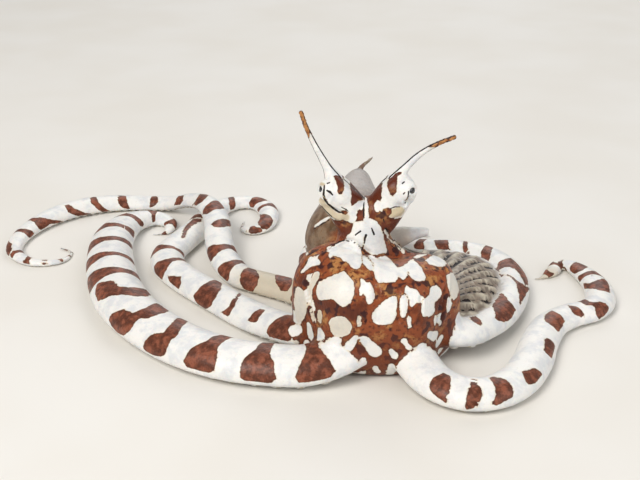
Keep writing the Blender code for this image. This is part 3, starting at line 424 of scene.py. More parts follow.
# Bands of the arms in plain view, as outlines: pixel across, pixel down
BANDS_SEEN = {
    "arm_left_1": [
        [(429, 385.5), (432.5, 379.5), (436, 376), (443.5, 373), (450, 376), (451, 383.5), (450, 389.5),
         (447, 398), (446.5, 403), (440.5, 399.5), (434.5, 395), (430, 390)],
        [(467, 396.5), (468.5, 390.5), (471, 386), (470, 379), (477, 379), (477.5, 385), (482, 388),
         (482.5, 395), (479.5, 401), (474.5, 407), (470.5, 410), (464.5, 407.5), (465, 403)],
        [(488, 378), (493, 377), (500, 377.5), (506.5, 380.5), (510, 383.5), (512.5, 389.5), (513, 396),
         (508, 399.5), (502, 402.5), (496.5, 405.5), (490.5, 404.5), (493.5, 400), (496, 395),
         (495.5, 388)],
        [(522, 371.5), (528.5, 369.5), (536, 368.5), (542.5, 374), (539, 379), (534.5, 383.5), (530, 384.5),
         (526.5, 382.5), (523.5, 378)],
        [(544.5, 338), (549, 338.5), (553.5, 342.5), (555, 346.5), (553.5, 352.5), (551.5, 359),
         (547.5, 355), (544, 351)],
        [(544.5, 316.5), (547.5, 313), (551.5, 311), (556.5, 312.5), (561.5, 316), (565, 320.5), (563, 326),
         (558.5, 333), (555, 329), (550.5, 324.5), (544.5, 320.5)],
        [(566.5, 305), (571, 305.5), (577, 307), (581.5, 310), (584.5, 317.5), (580, 317), (574, 314.5),
         (571.5, 311.5)],
        [(576.5, 300.5), (581.5, 297), (588.5, 301.5), (594.5, 302.5), (599, 301.5), (605, 302.5),
         (608.5, 307), (607.5, 311.5), (603.5, 316), (599, 319), (596, 314.5), (595.5, 310), (593, 305.5),
         (585.5, 305)],
        [(583, 283), (590, 283.5), (594.5, 281.5), (599, 279.5), (603.5, 278.5), (607, 281.5), (609, 288),
         (610.5, 293.5), (600.5, 290.5), (593, 289), (584.5, 289)],
        [(569.5, 269), (572, 264.5), (577, 261), (583, 261.5), (587, 265.5), (588.5, 267.5), (583, 270.5),
         (575.5, 274), (572, 272)],
        [(566, 256), (562.5, 259), (562, 263), (564.5, 267), (568.5, 271.5), (567, 272), (562.5, 268.5),
         (559.5, 263.5), (560.5, 258.5)],
    ],
    "arm_left_2": [
        [(434, 240.5), (448, 239.5), (449.5, 248.5), (451.5, 256.5), (443.5, 254.5), (437, 249)],
        [(463, 240), (467.6, 240), (468, 248.5), (468.8, 258), (462.3, 258), (462.5, 248.5)],
        [(481, 253), (483.5, 247.5), (487, 244), (494.5, 243.5), (492, 249.5), (490, 256.5), (487, 263),
         (479, 263), (479.5, 257)],
        [(493.5, 268.5), (497.5, 263), (503.5, 259.5), (511, 258), (518.5, 261), (525, 264), (528.5, 268.5),
         (531.5, 273.5), (530, 279), (528, 285), (524.5, 284), (521.5, 277.5), (518, 272), (514, 268.5),
         (509, 267), (503, 267.5), (499, 270), (495, 273)],
        [(494, 275), (499, 274), (505, 274), (511, 275.5), (515.5, 279.5), (521, 283), (525.5, 286.5),
         (529.5, 288), (527, 292.5), (524, 298.5), (519.5, 306.5), (519, 301.5), (519.5, 295.5),
         (517.5, 290.5), (517, 285), (514, 280.5), (509.5, 276.5), (503.5, 275.3)],
        [(484.5, 292.5), (489, 288), (493.5, 288), (499, 290.5), (504.5, 295.5), (508, 300.5), (514, 307),
         (516, 309.5), (514, 313), (511, 319), (505, 322), (499, 321), (495, 319), (494, 311.5), (492, 304),
         (489, 298.5)],
        [(468.5, 311.5), (471.5, 313), (477, 317.5), (482.5, 322.5), (481, 326), (475.5, 323.5),
         (471.5, 320.5), (470.5, 315)],
    ],
    "arm_right_1": [
        [(95.5, 294), (96.5, 286.5), (98, 283), (104, 281.5), (113, 280.5), (116.5, 284), (118.5, 286.5),
         (128, 287.5), (140, 288.5), (147, 290), (151, 295), (147, 296.5), (136, 296.5), (128, 295),
         (120, 294.5), (115, 295), (109, 296.5), (104, 299), (98, 301)],
        [(109, 320), (112, 314), (118, 310.5), (124, 309), (129, 311), (133, 313.5), (138, 311), (146, 308),
         (158, 303.5), (169, 311), (165, 313), (156, 315.5), (148, 318), (140, 318.5), (136, 321),
         (133, 326), (129, 332), (124, 335.5), (118, 333), (112, 327)],
        [(143, 348), (145, 340), (150, 336), (156, 333.5), (163, 333), (167, 329), (172, 323), (178, 318),
         (184, 316.5), (189, 320), (186, 323), (180, 329), (178, 335), (175, 338), (171, 340), (168, 346),
         (166, 354), (161, 357), (154, 355), (148, 351.5)],
    ],
    "arm_right_2": [
        [(167, 276), (181, 276), (181, 284), (179, 289.5), (175, 286), (170, 282)],
        [(193, 296), (197, 291), (202, 286), (208, 282), (216, 280), (221.5, 283), (220, 290), (216, 297),
         (212, 305), (208, 308), (204, 310), (200, 307.5), (197, 303)],
        [(240, 292), (241, 295), (237, 300), (235, 306), (232, 311), (229, 317), (224, 314.5), (220, 313),
         (226, 309), (230, 306), (232, 300), (236, 296)],
        [(246, 320), (250, 317), (254, 312), (260, 309), (265, 310), (262, 315), (258, 320), (256, 323)],
        [(181, 238), (183, 231), (187, 224.5), (193, 219), (203, 217.5), (205, 221), (198, 222.5),
         (191, 226.5), (187, 232), (184.5, 238)],
        [(228.5, 197), (234, 196), (235.5, 202), (234, 209), (230, 210), (229, 204)],
        [(252, 198), (257, 196), (263, 197.5), (268, 201), (262, 202), (258, 203), (254, 207.5), (250, 207),
         (249, 203)],
        [(253, 220), (257, 216), (262, 214), (268, 215), (272, 218), (273, 222), (270, 227), (266, 229.5),
         (262, 228), (258, 225), (256, 221.5)],
    ],
    "arm_right_3": [
        [(240, 276), (243, 270), (249, 267.5), (256, 270.5), (259.5, 277), (258, 285), (253, 291.5),
         (246, 291.5), (241.5, 286)],
        [(275, 276), (279, 268.5), (286, 267), (293, 270), (296, 277), (294, 286), (288, 291.5),
         (280, 290.5), (276, 284)],
        [(211, 225), (213, 222), (218, 219.5), (224, 219), (231, 221), (233, 225), (230, 226.5),
         (222, 227.5), (216, 227)],
        [(203, 210), (208, 204), (212, 201), (219, 201), (224, 205), (225, 208), (220, 209), (216, 209),
         (212, 211), (208, 214), (203, 215)],
        [(200, 194), (209, 193.5), (206, 198), (202, 202), (197, 205.5), (192, 206), (195, 202),
         (198, 198)],
        [(178, 196.5), (184, 195.5), (183, 201), (180, 205), (174, 205.5), (176, 201)],
        [(152, 196.5), (158, 196.5), (158, 202), (154, 206), (149, 207), (150, 202)],
        [(118, 196.5), (126, 196), (127, 202), (130, 207), (131, 209), (122, 207.5), (118, 203)],
        [(90, 197.5), (96, 197), (98, 202), (102, 206), (108, 210), (112, 212), (103, 212.5), (96, 208),
         (91, 203)],
        [(64, 205.5), (70, 204.5), (74, 208), (84, 212), (92, 215), (97, 217), (86, 217.5), (76, 215.5),
         (68, 212)],
        [(33, 220), (40, 217.5), (50, 219.5), (64, 222), (80, 222.5), (86, 224), (76, 227), (60, 225.5),
         (48, 224.5)],
        [(4, 249), (5, 243), (9, 240), (12, 244), (12.5, 250), (10, 256), (6, 256)],
    ],
}
# A band where the photograph hides the arm: place along in its width, place across from crest to edge
BAND_OUTLINE = [
    (-0.42, 0.93), (0.38, 0.95), (0.56, 0.74), (0.5, 0.36), (0.27, 0.06), (0.23, -0.25), (0.36, -0.62),
    (0.28, -0.82), (-0.26, -0.85), (-0.35, -0.6), (-0.22, -0.22), (-0.28, 0.1), (-0.5, 0.38), (-0.58, 0.74),
]

# The marking by rule
SEED = 20
BARE = -3.0  # the depth of a point that no outline reaches
GROUND = 1.6  # the depth in dark skin of a point of the body that no pale mark reaches
PALE_HEIGHT = 38.0  # pale outlines lie on the skin below this height
FRONT_DEPTH = 14.0  # and on the front, up to this
FACING_WEIGHT = 5.0  # how fast an outline ends on skin that turns from the camera
BULB_HALO = 2.2  # of pale skin round an eye's bulb
FUNNEL_REACH = 4.2  # of the funnel's own colours from its middle line
FUNNEL_LEAST = (-1.0, 25.0)  # they end at this x and this height
SHOWN_HEIGHT = 12.0  # the body's front is in plain view above this
SHOWN_DEPTH = 8.0  # and up to this
STREWN_HEIGHTS = (1.5, 36.0)  # blotches by rule lie between these heights
STREWN_RADII = (1.0, 2.7)  # a blotch's wide end is 0.8 of this, its narrow end 0.55
STREWN_GAP = 2.6  # between a blotch by rule and the next place, beyond its radius
STREWN_TRIES = 4000  # vertices that are tried, in random order
RUST_HEIGHT = 30.0  # the head's patches lie above this
TAIL_SHADE = (0.93, 0.96)  # where the first left arm's tip turns beige as painted shade, of its length
SHADED_RUN = (34.0, 48.0)  # where the painted shade on the third right arm's root ends, along it
STROKE_DRAW = 2.2  # how much longer a stroke may be on a slope than the camera sees it
STROKE_SPREAD = 0.15  # added to a pale stroke's radius
BAND_PERIODS = ((0.5, 2.0, 4.0, 8.0), (3.0, 5.4, 8.6, 13.0))  # along an arm, for its half width
BAND_SHARE = 0.56  # of the period, at the band's wide end


def carried(values, low, high):
    """Values eased from 0 at low to 1 at high: h² (3 - 2h)."""
    h = np.clip((values - low) / (high - low), 0.0, 1.0)
    return h * h * (3.0 - 2.0 * h)


def unit(vectors):
    """Vectors brought to length 1."""
    return vectors / np.maximum(np.linalg.norm(vectors, axis=-1, keepdims=True), 1e-12)


def turns(count):
    """Angles of as many even steps round a full turn."""
    return np.arange(count) * 2 * math.pi / count


def within(points, low, high):
    """Which points lie inside a box, by their indices."""
    return np.flatnonzero(((points > low) & (points < high)).all(1))


def from_crown(points):
    """Level distances from the crown's middle line."""
    return np.hypot(points[:, 0] - CROWN_CENTRE_X, points[:, 1])


def even_curve(knots, step):
    """Points at an even step along a Catmull-Rom curve: for knots a, b, c, d the curve from b to c is
    half of 2b + (c-a)t + (2a-5b+4c-d)t² + (3b-a-3c+d)t³."""
    knots = np.asarray(knots, float)
    held = np.vstack([2 * knots[0] - knots[1], knots, 2 * knots[-1] - knots[-2]])
    a, b, c, d = (held[i : len(knots) - 1 + i, None] for i in range(4))
    t = np.linspace(0, 1, 32, endpoint=False)[None, :, None]
    fine = 0.5 * (2 * b + (c - a) * t + (2 * a - 5 * b + 4 * c - d) * t**2 + (3 * b - a - 3 * c + d) * t**3)
    fine = np.vstack([fine.reshape(-1, knots.shape[1]), knots[-1:]])
    reach = np.linalg.norm(np.diff(fine[:, :3], axis=0), axis=1)
    run = np.concatenate([[0], np.cumsum(reach)])
    even = np.linspace(0, run[-1], max(2, round(run[-1] / step) + 1))
    return np.column_stack([np.interp(even, run, column) for column in fine.T])


def limb_table(path, half, high):
    """One row for each point of a limb's path: distance, place, tangent, side, up, half width and half
    height. Side is level, tangent × z, and up is side × tangent."""
    run = np.concatenate([[0], np.cumsum(np.linalg.norm(np.diff(path, axis=0), axis=1))])
    along = unit(np.gradient(path, axis=0))
    side = unit(np.cross(along, [0.0, 0.0, 1.0]))
    return np.column_stack([run, path, along, side, np.cross(side, along), half, high])


def table_at(table, at):
    """Rows of a limb's table at these distances."""
    rows = np.column_stack([np.interp(at, table[:, 0], column) for column in table.T])
    for first in (4, 7, 10):
        rows[:, first : first + 3] = unit(rows[:, first : first + 3])
    return rows


def arm_table(name, step):
    """An arm's table. Its width runs straight from the root's to the middle's to a share of that at the
    end, × (1 + amount × exp(-((share - place) / spread)²)) for each swell, × (1 - tip^2.2), where tip runs
    from 0 at 72 % of the arm to 1 at its end."""
    root, middle, _, knots = ARMS[name]
    flat = even_curve(knots, step)
    share = np.linspace(0, 1, len(flat))
    width = np.interp(share, [0.0, 0.5, 1.0], [root, middle, middle * ARM_END_SHARE])
    for place, spread, amount in ARM_SWELLS.get(name, []):
        width *= 1 + amount * np.exp(-(((share - place) / spread) ** 2))
    tip = np.clip((share - ARM_TIP_START) / (1 - ARM_TIP_START), 0, 1)
    half = np.maximum(width * (1 - tip**ARM_TIP_POWER), ARM_TIP_WIDTH) / 2
    high = half * ARM_FLATNESS
    path = flat.copy()
    path[:, 2] = high * (1 + SUCKER_REACH) + np.maximum(flat[:, 2], 0)
    return limb_table(path, half, high)


def horn_table(side, step):
    """A horn's table, round in section: it thins from its root with a flare where it meets the brow."""
    path = even_curve(HORN_PATHS[side], step)
    share = np.linspace(0, 1, len(path))
    half = 0.5 * (HORN_TIP_WIDTH + (HORN_WIDTH - HORN_TIP_WIDTH) * (1 - share) ** HORN_TAPER)
    half += 0.9 * np.exp(-((share / 0.13) ** 2))
    return limb_table(path, half, half)


def ring_faces(count, sides):
    """Triangles of a closed tube through count rings of as many points each, whose end points come
    after all the rings, the first ring's and then the last one's."""
    row, column = np.meshgrid(np.arange(count - 1), np.arange(sides), indexing="ij")
    a = (row * sides + column).ravel()
    b = (row * sides + (column + 1) % sides).ravel()
    ring = np.arange(sides)
    following = (ring + 1) % sides
    last = (count - 1) * sides
    foot = np.full(sides, count * sides)
    return np.vstack([
        np.column_stack([a, b, b + sides]),
        np.column_stack([a, b + sides, a + sides]),
        np.column_stack([following, ring, foot]),
        np.column_stack([ring + last, following + last, foot + 1]),
    ])


def closed_rings(rings):
    """Points and triangles of a closed surface through rings of as many points each, with a middle
    point on each end, its faces turned outwards."""
    rings = np.asarray(rings, float)
    points = np.vstack([rings.reshape(-1, 3), rings[0].mean(0), rings[-1].mean(0)])
    return points, outward(points, ring_faces(*rings.shape[:2]))


def outward(points, faces):
    """The faces, turned over if the signed volume, a sixth of the sum of a · (b × c), is below zero."""
    a, b, c = (points[faces[:, i]] for i in range(3))
    volume = np.einsum("ij,ij->i", a, np.cross(b, c)).sum()
    return faces if volume > 0 else faces[:, ::-1]


def tube_rings(rows, sides, widest=0.0):
    """Rings square to a limb: side × half width × cos + up × half height × s, where s is sin with its
    zero, where the limb is widest, moved down by widest, and its top and bottom kept."""
    turn = turns(sides)
    sine = np.sin(turn)
    sine = np.where(sine < 0, sine * (1 - widest), sine * (1 + widest)) - widest
    across = rows[:, None, 7:10] * (rows[:, 13:14] * np.cos(turn))[:, :, None]
    upward = rows[:, None, 10:13] * (rows[:, 14:15] * sine)[:, :, None]
    return rows[:, None, 1:4] + across + upward


def round_ends(rows):
    """A limb's table with rows added so that its ends close in a quarter circle."""
    turn = np.linspace(0, math.pi / 2, 6)[1:-1]
    ends = []
    for row, sign in ((rows[:1], -1.0), (rows[-1:], 1.0)):
        end = np.repeat(row, len(turn), axis=0)
        end[:, 1:4] += sign * end[:, 4:7] * (end[:, 14] * np.sin(turn))[:, None]
        end[:, 13:15] *= np.cos(turn)[:, None]
        ends.append(end)
    return np.vstack([ends[0][::-1], rows, ends[1]])


def tube(rows, sides, widest=0.0):
    """A limb as a closed surface with rounded ends."""
    return closed_rings(tube_rings(round_ends(rows), sides, widest))


def bulb_surface(side):
    """The bulb that carries an eye: middle + radius × (sin a cos b, sin a sin b, cos a), flat inside."""
    a = np.linspace(0, math.pi, 38)[1:-1, None]
    b = turns(56)[None, :]
    shell = np.stack([np.sin(a) * np.cos(b), np.sin(a) * np.sin(b), np.cos(a) + 0 * b], axis=-1)
    return closed_rings(flattened(np.array(EYE_BULBS[side]) + shell * BULB_RADIUS, side))


def crown_surface():
    """The web over the arm roots: radius and height carried round the profile, with a ridge over each
    arm, exp(-(bearing difference / width)²), and the front lobes drawn up beside the neck."""
    angles = turns(200)
    ridge = np.zeros(len(angles))
    for *_, knots in ARMS.values():
        bearing = math.atan2(knots[1][1], knots[1][0] - CROWN_CENTRE_X)
        ridge += np.exp(-((np.angle(np.exp(1j * (angles - bearing))) / RIDGE_WIDTH) ** 2))
    from_front = np.degrees(np.abs(np.angle(np.exp(1j * (angles + math.pi / 2)))))
    front = 1 / (1 + np.exp((from_front - BACK_BEARING) / BACK_SPREAD))
    top = CROWN_HEIGHT - CROWN_LEAN * np.cos(angles)
    top = BACK_HEIGHT + (top - BACK_HEIGHT) * front
    profile = even_curve(np.column_stack([CROWN_PROFILE, np.zeros(len(CROWN_PROFILE))]), 0.03)
    wide, high = profile[:, :1], profile[:, 1:2]
    fade = np.minimum(1.0, np.minimum(4 * (1 - high), 0.4 + 2 * high))
    radius = wide * (CROWN_RADIUS + RIDGE_HEIGHT * (ridge - 0.5) * np.maximum(fade, 0))
    x = CROWN_CENTRE_X + radius * np.cos(angles)
    y = radius * np.sin(angles)
    return closed_rings(np.stack([x, y, high * top], axis=-1))


def section_surface(sections, step, sides, upright):
    """A body through elliptical sections, which lie level if upright and stand across Y otherwise."""
    rows = even_curve(sections, step)
    turn = turns(sides)
    wide = rows[:, 3:4] * np.cos(turn)
    deep = rows[:, 4:5] * np.sin(turn)
    flat = np.zeros_like(wide)
    offset = [wide, deep, flat] if upright else [wide, flat, deep]
    return closed_rings(rows[:, None, :3] + np.stack(offset, axis=-1))


def stalk_surface(side):
    """A stalk from the middle of the head to its bulb, a cone that narrows a little."""
    sign = -1 if side == "right" else 1
    bulb = np.array(EYE_BULBS[side])
    root = np.array([NECK_X + sign * STALK_ROOT_SPREAD, 0.8, STALK_ROOT_HEIGHT])
    path = even_curve([root, root * 0.45 + bulb * 0.55 + [0, 0, -0.4], bulb], 0.6)
    radii = np.linspace(STALK_ROOT_RADIUS, BULB_RADIUS * 0.96, len(path))[:, None]
    along = unit(np.gradient(path, axis=0))
    across = unit(np.cross(along, [0.0, 1.0, 0.0]))
    turn = turns(40)
    rings = (
        path[:, None, :]
        + across[:, None, :] * (radii * np.cos(turn))[:, :, None]
        + np.array([0.0, 1.0, 0.0]) * (radii * 0.94 * np.sin(turn))[:, :, None]
    )
    return closed_rings(flattened(rings, side))


def flattened(points, side):
    """What stands past a bulb's slope pushed back onto it, along the slope's direction."""
    direction, reach = BULB_SLOPES[side]
    direction = unit(np.array(direction))
    past = np.maximum((points - np.array(EYE_BULBS[side])) @ direction - reach, 0.0)
    return points - past[..., None] * direction


def siphon_surface():
    """The funnel: a tapered tube with a rounded lip, whose wall turns in at the mouth, 2.4 mm deep."""
    knots = even_curve(SIPHON_KNOTS, 0.4)
    rows = limb_table(knots[:, :3], knots[:, 3] / 2, knots[:, 3] / 2)
    lip = np.repeat(rows[-1:], 4, axis=0)
    lip[:, 1:4] += lip[:, 4:7] * np.array([[0.2], [0.55], [0.85], [1.0]])
    lip[:, 13:15] = np.array([[1.24], [1.08], [0.82], [0.55]])
    bore = table_at(rows, rows[-1, 0] - np.linspace(0.3, 2.4, 6))
    bore[:, 13:15] = np.linspace(0.55, 0.4, 6)[:, None]
    return closed_rings(tube_rings(np.vstack([rows, lip, bore]), 36))


def web_grid(rows_along, sides):
    """The web's sheet as a grid from a gathered edge at the crown to the second left arm's inner flank:
    its places, how far each lies towards the arm, and how high its fold stands. The folds run across the
    sheet: 0.62 sin(84 share + 1.9 sin(5 reach)) + 0.3 sin(139 share + 6 reach), flatter towards both edges,
    and under them the sheet arches up by 2.6 sin(pi reach)."""
    rows = table_at(arm_table("arm_left_2", 0.8), np.linspace(*WEB_RUN, rows_along))
    share = np.linspace(0, 1, len(rows))[:, None]
    gather = even_curve(WEB_GATHER, 0.4)
    gather = gather[np.linspace(0, len(gather) - 1, len(rows)).astype(int)]
    turn = turns(sides)[None, :]
    reach = 0.5 + 0.5 * np.cos(turn)
    inward = unit((gather - rows[:, 1:4]) * np.array([1.0, 1.0, 0.0]))
    outer = rows[:, 1:4] + inward * 0.55 * rows[:, 13:14]
    middle = gather[:, None] * (1 - reach[..., None]) + outer[:, None] * reach[..., None]
    folds = np.sin(share * 84.0 + 1.9 * np.sin(reach * 5.0)) * 0.62 + np.sin(share * 139.0 + reach * 6) * 0.3
    lift = folds * (1 - reach) ** 0.3 * carried(reach, 0.0, 0.12) * (1 - carried(reach, 0.8, 1.0))
    arch = WEB_ARCH * np.maximum(np.sin(reach * math.pi), 0.0) * carried(share, 0.12, 0.4)
    middle[..., 2] += lift + arch + 0.62 * np.sin(turn) - 0.4 * reach
    return middle, np.broadcast_to(reach, lift.shape), lift


def web_surface():
    """The web between the second left arm and the crown's side, a thin folded sheet."""
    return closed_rings(web_grid(190, 72)[0])


def joined(surfaces):
    """The points and faces of several surfaces as one mesh."""
    first = np.cumsum([0] + [len(points) for points, _ in surfaces[:-1]])
    return (
        np.vstack([points for points, _ in surfaces]),
        np.vstack([faces + start for (_, faces), start in zip(surfaces, first)]),
    )


def new_mesh(name, points, faces):
    """A triangle mesh from arrays in millimetres."""
    mesh = bpy.data.meshes.new(name)
    mesh.vertices.add(len(points))
    mesh.vertices.foreach_set("co", (points * MM).astype(np.float32).ravel())
    mesh.loops.add(faces.size)
    mesh.loops.foreach_set("vertex_index", faces.astype(np.int32).ravel())
    mesh.polygons.add(len(faces))
    mesh.polygons.foreach_set("loop_start", np.arange(0, faces.size, 3, dtype=np.int32))
    mesh.update(calc_edges=True)
    mesh.validate()
    return mesh


def new_object(name, mesh):
    """A mesh as a smooth object of the scene."""
    obj = bpy.data.objects.new(name, mesh)
    bpy.context.scene.collection.objects.link(obj)
    mesh.shade_smooth()
    return obj


def numbers_of(items, name, width, kind=np.float32):
    """One property of all items of a mesh, a row of as many numbers for each."""
    flat = np.empty(len(items) * width, kind)
    items.foreach_get(name, flat)
    return flat.reshape(-1, width)


def points_of(mesh):
    """The mesh's vertices in millimetres."""
    return numbers_of(mesh.vertices, "co", 3).astype(float) / MM


def normals_of(mesh):
    """The mesh's vertex normals."""
    return numbers_of(mesh.vertex_normals, "vector", 3).astype(float)


def triangles_of(mesh):
    """The mesh's triangles."""
    mesh.calc_loop_triangles()
    return numbers_of(mesh.loop_triangles, "vertices", 3, np.int32)


def edges_of(mesh):
    """The mesh's edges."""
    return numbers_of(mesh.edges, "vertices", 2, np.int32)


def set_points(mesh, points):
    """Moves the mesh's vertices to these places."""
    mesh.vertices.foreach_set("co", (points * MM).astype(np.float32).ravel())
    mesh.update()


def set_attribute(mesh, name, values):
    """Keeps one number for each vertex under a name that the material reads."""
    layer = mesh.attributes.new(name, "FLOAT", "POINT")
    layer.data.foreach_set("value", values.astype(np.float32))


def relaxed(points, edges, weight, rounds):
    """Points drawn to the mean of their neighbours by their weight, over several rounds."""
    count = len(points)
    ends = np.concatenate([edges[:, 0], edges[:, 1]])
    others = np.concatenate([edges[:, 1], edges[:, 0]])
    degree = np.maximum(np.bincount(ends, minlength=count), 1)
    weight = np.broadcast_to(weight, (count,))
    for _ in range(rounds):
        mean = np.column_stack([
            np.bincount(ends, weights=points[others, i], minlength=count) for i in range(3)
        ]) / degree[:, None]
        points = points + (mean - points) * weight[:, None]
    return points


def with_modifier(obj, kind, **settings):
    """The object's mesh after one modifier, which is applied."""
    modifier = obj.modifiers.new("shaping", kind)
    for key, value in settings.items():
        setattr(modifier, key, value)
    graph = bpy.context.evaluated_depsgraph_get()
    mesh = bpy.data.meshes.new_from_object(obj.evaluated_get(graph))
    obj.modifiers.clear()
    spent = obj.data
    obj.data = mesh
    bpy.data.meshes.remove(spent)
    return mesh


def pixels_of(points):
    """Where the camera sees points: pixel across, pixel down and depth."""
    seen = points - CAMERA_PLACE
    depth = seen @ SIGHT
    across = PICTURE_MIDDLE[0] + CAMERA_FOCAL * (seen @ SIGHT_RIGHT) / depth
    down = PICTURE_MIDDLE[1] - CAMERA_FOCAL * (seen @ SIGHT_UP) / depth
    return across, down, depth


class Finder:
    """Finds the place on a surface that the camera sees at a pixel."""

    def __init__(self, points, faces):
        self.tree = BVHTree.FromPolygons(points.tolist(), faces.tolist())
        self.points = points
        self.pixels = pixels_of(points)

    def place(self, across, down):
        """The first hit of the line of sight, or the vertex nearest to it where it misses."""
        line = (
            SIGHT
            + (across - PICTURE_MIDDLE[0]) / CAMERA_FOCAL * SIGHT_RIGHT
            + (PICTURE_MIDDLE[1] - down) / CAMERA_FOCAL * SIGHT_UP
        )
        hit = self.tree.ray_cast(Vector(CAMERA_PLACE), Vector(line).normalized())[0]
        if hit is not None:
            return np.array(hit)
        miss = np.hypot(self.pixels[0] - across, self.pixels[1] - down) + 0.02 * self.pixels[2]
        return self.points[np.argmin(miss)]

    def stroke(self, pixels):
        """Places of a stroke's pixels and their radii in millimetres."""
        places = np.array([self.place(across, down) for across, down, _ in pixels])
        scale = pixels_of(places)[2] / CAMERA_FOCAL
        return places, np.array([radius for _, _, radius in pixels]) * scale


def stroke_depth(points, places, radii, draw=1.0):
    """How far each point lies inside a tapered stroke: the most of radius(h) - |p - a - h(b - a)| over
    its pieces from a to b, with h kept from 0 to 1. With draw above 1 the distance is the one that the
    camera sees, so that a slope doesn't narrow the stroke, but no less than distance / draw."""
    depth = np.full(len(points), -1e3)
    sight = unit(places.mean(0) - CAMERA_PLACE)
    for a, b, first, last in zip(places[:-1], places[1:], radii[:-1], radii[1:]):
        reach = b - a
        offset = points - a
        flat = reach - sight * (reach @ sight) * (1 - 1 / draw**2)
        h = np.clip(offset @ flat / max(reach @ flat, 1e-9), 0.0, 1.0)
        gap = offset - h[:, None] * reach
        far = np.linalg.norm(gap, axis=1) / draw
        if draw > 1.0:
            far = np.maximum(far, np.linalg.norm(gap - np.outer(gap @ sight, sight), axis=1))
        depth = np.maximum(depth, first + (last - first) * h - far)
    return depth


def arm_places(points):
    """For each point its arm's index, or -1, how it lies to that arm (distance along, across in half
    widths, and above in half heights), and its measure there. The nearest arm is the one with the least
    measure, which is 1 on the ellipse through the arm's half width and height; above 1.9 none is near."""
    step = 1.2
    best = np.full(len(points), 1.9)
    found = np.full(len(points), -1)
    lie = np.zeros((len(points), 3))
    for index, name in enumerate(ARMS):
        rows = arm_table(name, step)
        near = within(points, rows[:, 1:4].min(0) - 12.0, rows[:, 1:4].max(0) + 12.0)
        for chunk in np.array_split(near, max(1, len(near) // 6000)):
            offset = points[chunk, None, :] - rows[None, :, 1:4]
            along = np.einsum("pri,ri->pr", offset, rows[:, 4:7])
            across = np.einsum("pri,ri->pr", offset, rows[:, 7:10]) / rows[:, 13]
            above = np.einsum("pri,ri->pr", offset, rows[:, 10:13]) / rows[:, 14]
            measure = np.sqrt(across**2 + above**2 + (along / step) ** 2)
            pick = measure.argmin(1)
            line = np.arange(len(chunk))
            value = np.hypot(across[line, pick], above[line, pick])
            value = np.maximum(value, measure[line, pick] * 0.9)
            closer = value < best[chunk]
            kept = chunk[closer]
            best[kept] = value[closer]
            found[kept] = index
            lie[kept, 0] = rows[pick, 0][closer] + along[line, pick][closer]
            lie[kept, 1] = across[line, pick][closer]
            lie[kept, 2] = above[line, pick][closer]
    return found, lie, best


def skin_parts():
    """Every body of flesh as a closed surface of its own."""
    parts = [
        crown_surface(),
        section_surface(NECK_SECTIONS, 0.6, 56, True),
        section_surface(MANTLE_SECTIONS, 0.8, 72, False),
        siphon_surface(),
        web_surface(),
    ]
    papilla = even_curve(MANTLE_PAPILLA, 0.4)
    thin = np.linspace(1.0, 0.4, len(papilla))
    parts.append(tube(limb_table(papilla, thin, thin), 16))
    flare = even_curve(NECK_FLARE, 0.4)
    thick = np.full(len(flare), FLARE_RADIUS)
    parts.append(tube(limb_table(flare, thick, thick), 24))
    for side in EYE_BULBS:
        parts.append(stalk_surface(side))
        parts.append(bulb_surface(side))
        horn = horn_table(side, 0.4)
        parts.append(tube(horn[horn[:, 0] < HORN_STUB], 24))
    return parts + [tube(arm_table(name, 0.8), 32, ARM_WIDEST) for name in ARMS]


def near_curve(points, curve, reach):
    """exp(-(distance to the curve / reach)²), taken to the curve's nearest point."""
    far = np.full(len(points), 1e6)
    for place in curve:
        far = np.minimum(far, ((points - place) ** 2).sum(1))
    return np.exp(-far / reach**2)


def junction_weight(points):
    """Where flesh runs into flesh, for the smoothing: the most of exp(-(distance / reach)²) round the arm
    roots, the head's middle, the neck's foot and the mantle's and siphon's roots."""
    weight = np.zeros(len(points))
    for name in ARMS:
        rows = arm_table(name, 2.0)
        root = rows[np.argmin(np.abs(from_crown(rows[:, 1:4]) - CROWN_RADIUS - 1.0)), 1:4]
        weight = np.maximum(weight, near_curve(points, [root], ROOT_REACH))
    for reach, places in JUNCTIONS:
        weight = np.maximum(weight, near_curve(points, np.array(places), reach))
    return weight


def eye_frame(side):
    """The eye's centre, the way it looks, and the level and upright directions square to that."""
    look = unit(np.array(EYE_LOOK[side]))
    level = unit(np.cross(look, [0.0, 0.0, 1.0]))
    return np.array(EYE_BULBS[side]) + look * EYE_DEPTH, look, level, np.cross(level, look)


def lid_lift(points, side):
    """How far the lids raise each point: a ring round a level slit, height × exp(-(inside / 0.4)² -
    (outside / 0.95)²), where inside is measured in an oval as wide as the ring and outside from the eye's
    axis, heavier above, with a shallow furrow and, below, a second low fold outside it."""
    centre, look, level, upright = eye_frame(side)
    offset = points - centre
    ahead = offset @ look
    a = offset @ level
    b = offset @ upright
    inside = np.minimum(np.hypot(a, b / LID_SLIT) - LID_RING, 0.0)
    far = np.hypot(a, b)
    front = carried(ahead, -0.6, 0.6)
    upper = 0.5 + 0.5 * np.clip(b / 2.0, -1, 1)
    outside = np.maximum(far - LID_RING, 0.0)
    ring = (0.8 + 0.3 * upper) * np.exp(-((inside / 0.4) ** 2) - (outside / 0.95) ** 2)
    furrow = -0.2 * np.exp(-(((far - 3.0) / 0.3) ** 2))
    second = 0.22 * np.exp(-(((far - 3.5) / 0.4) ** 2)) * (1 - upper)
    return (ring + furrow + second) * front


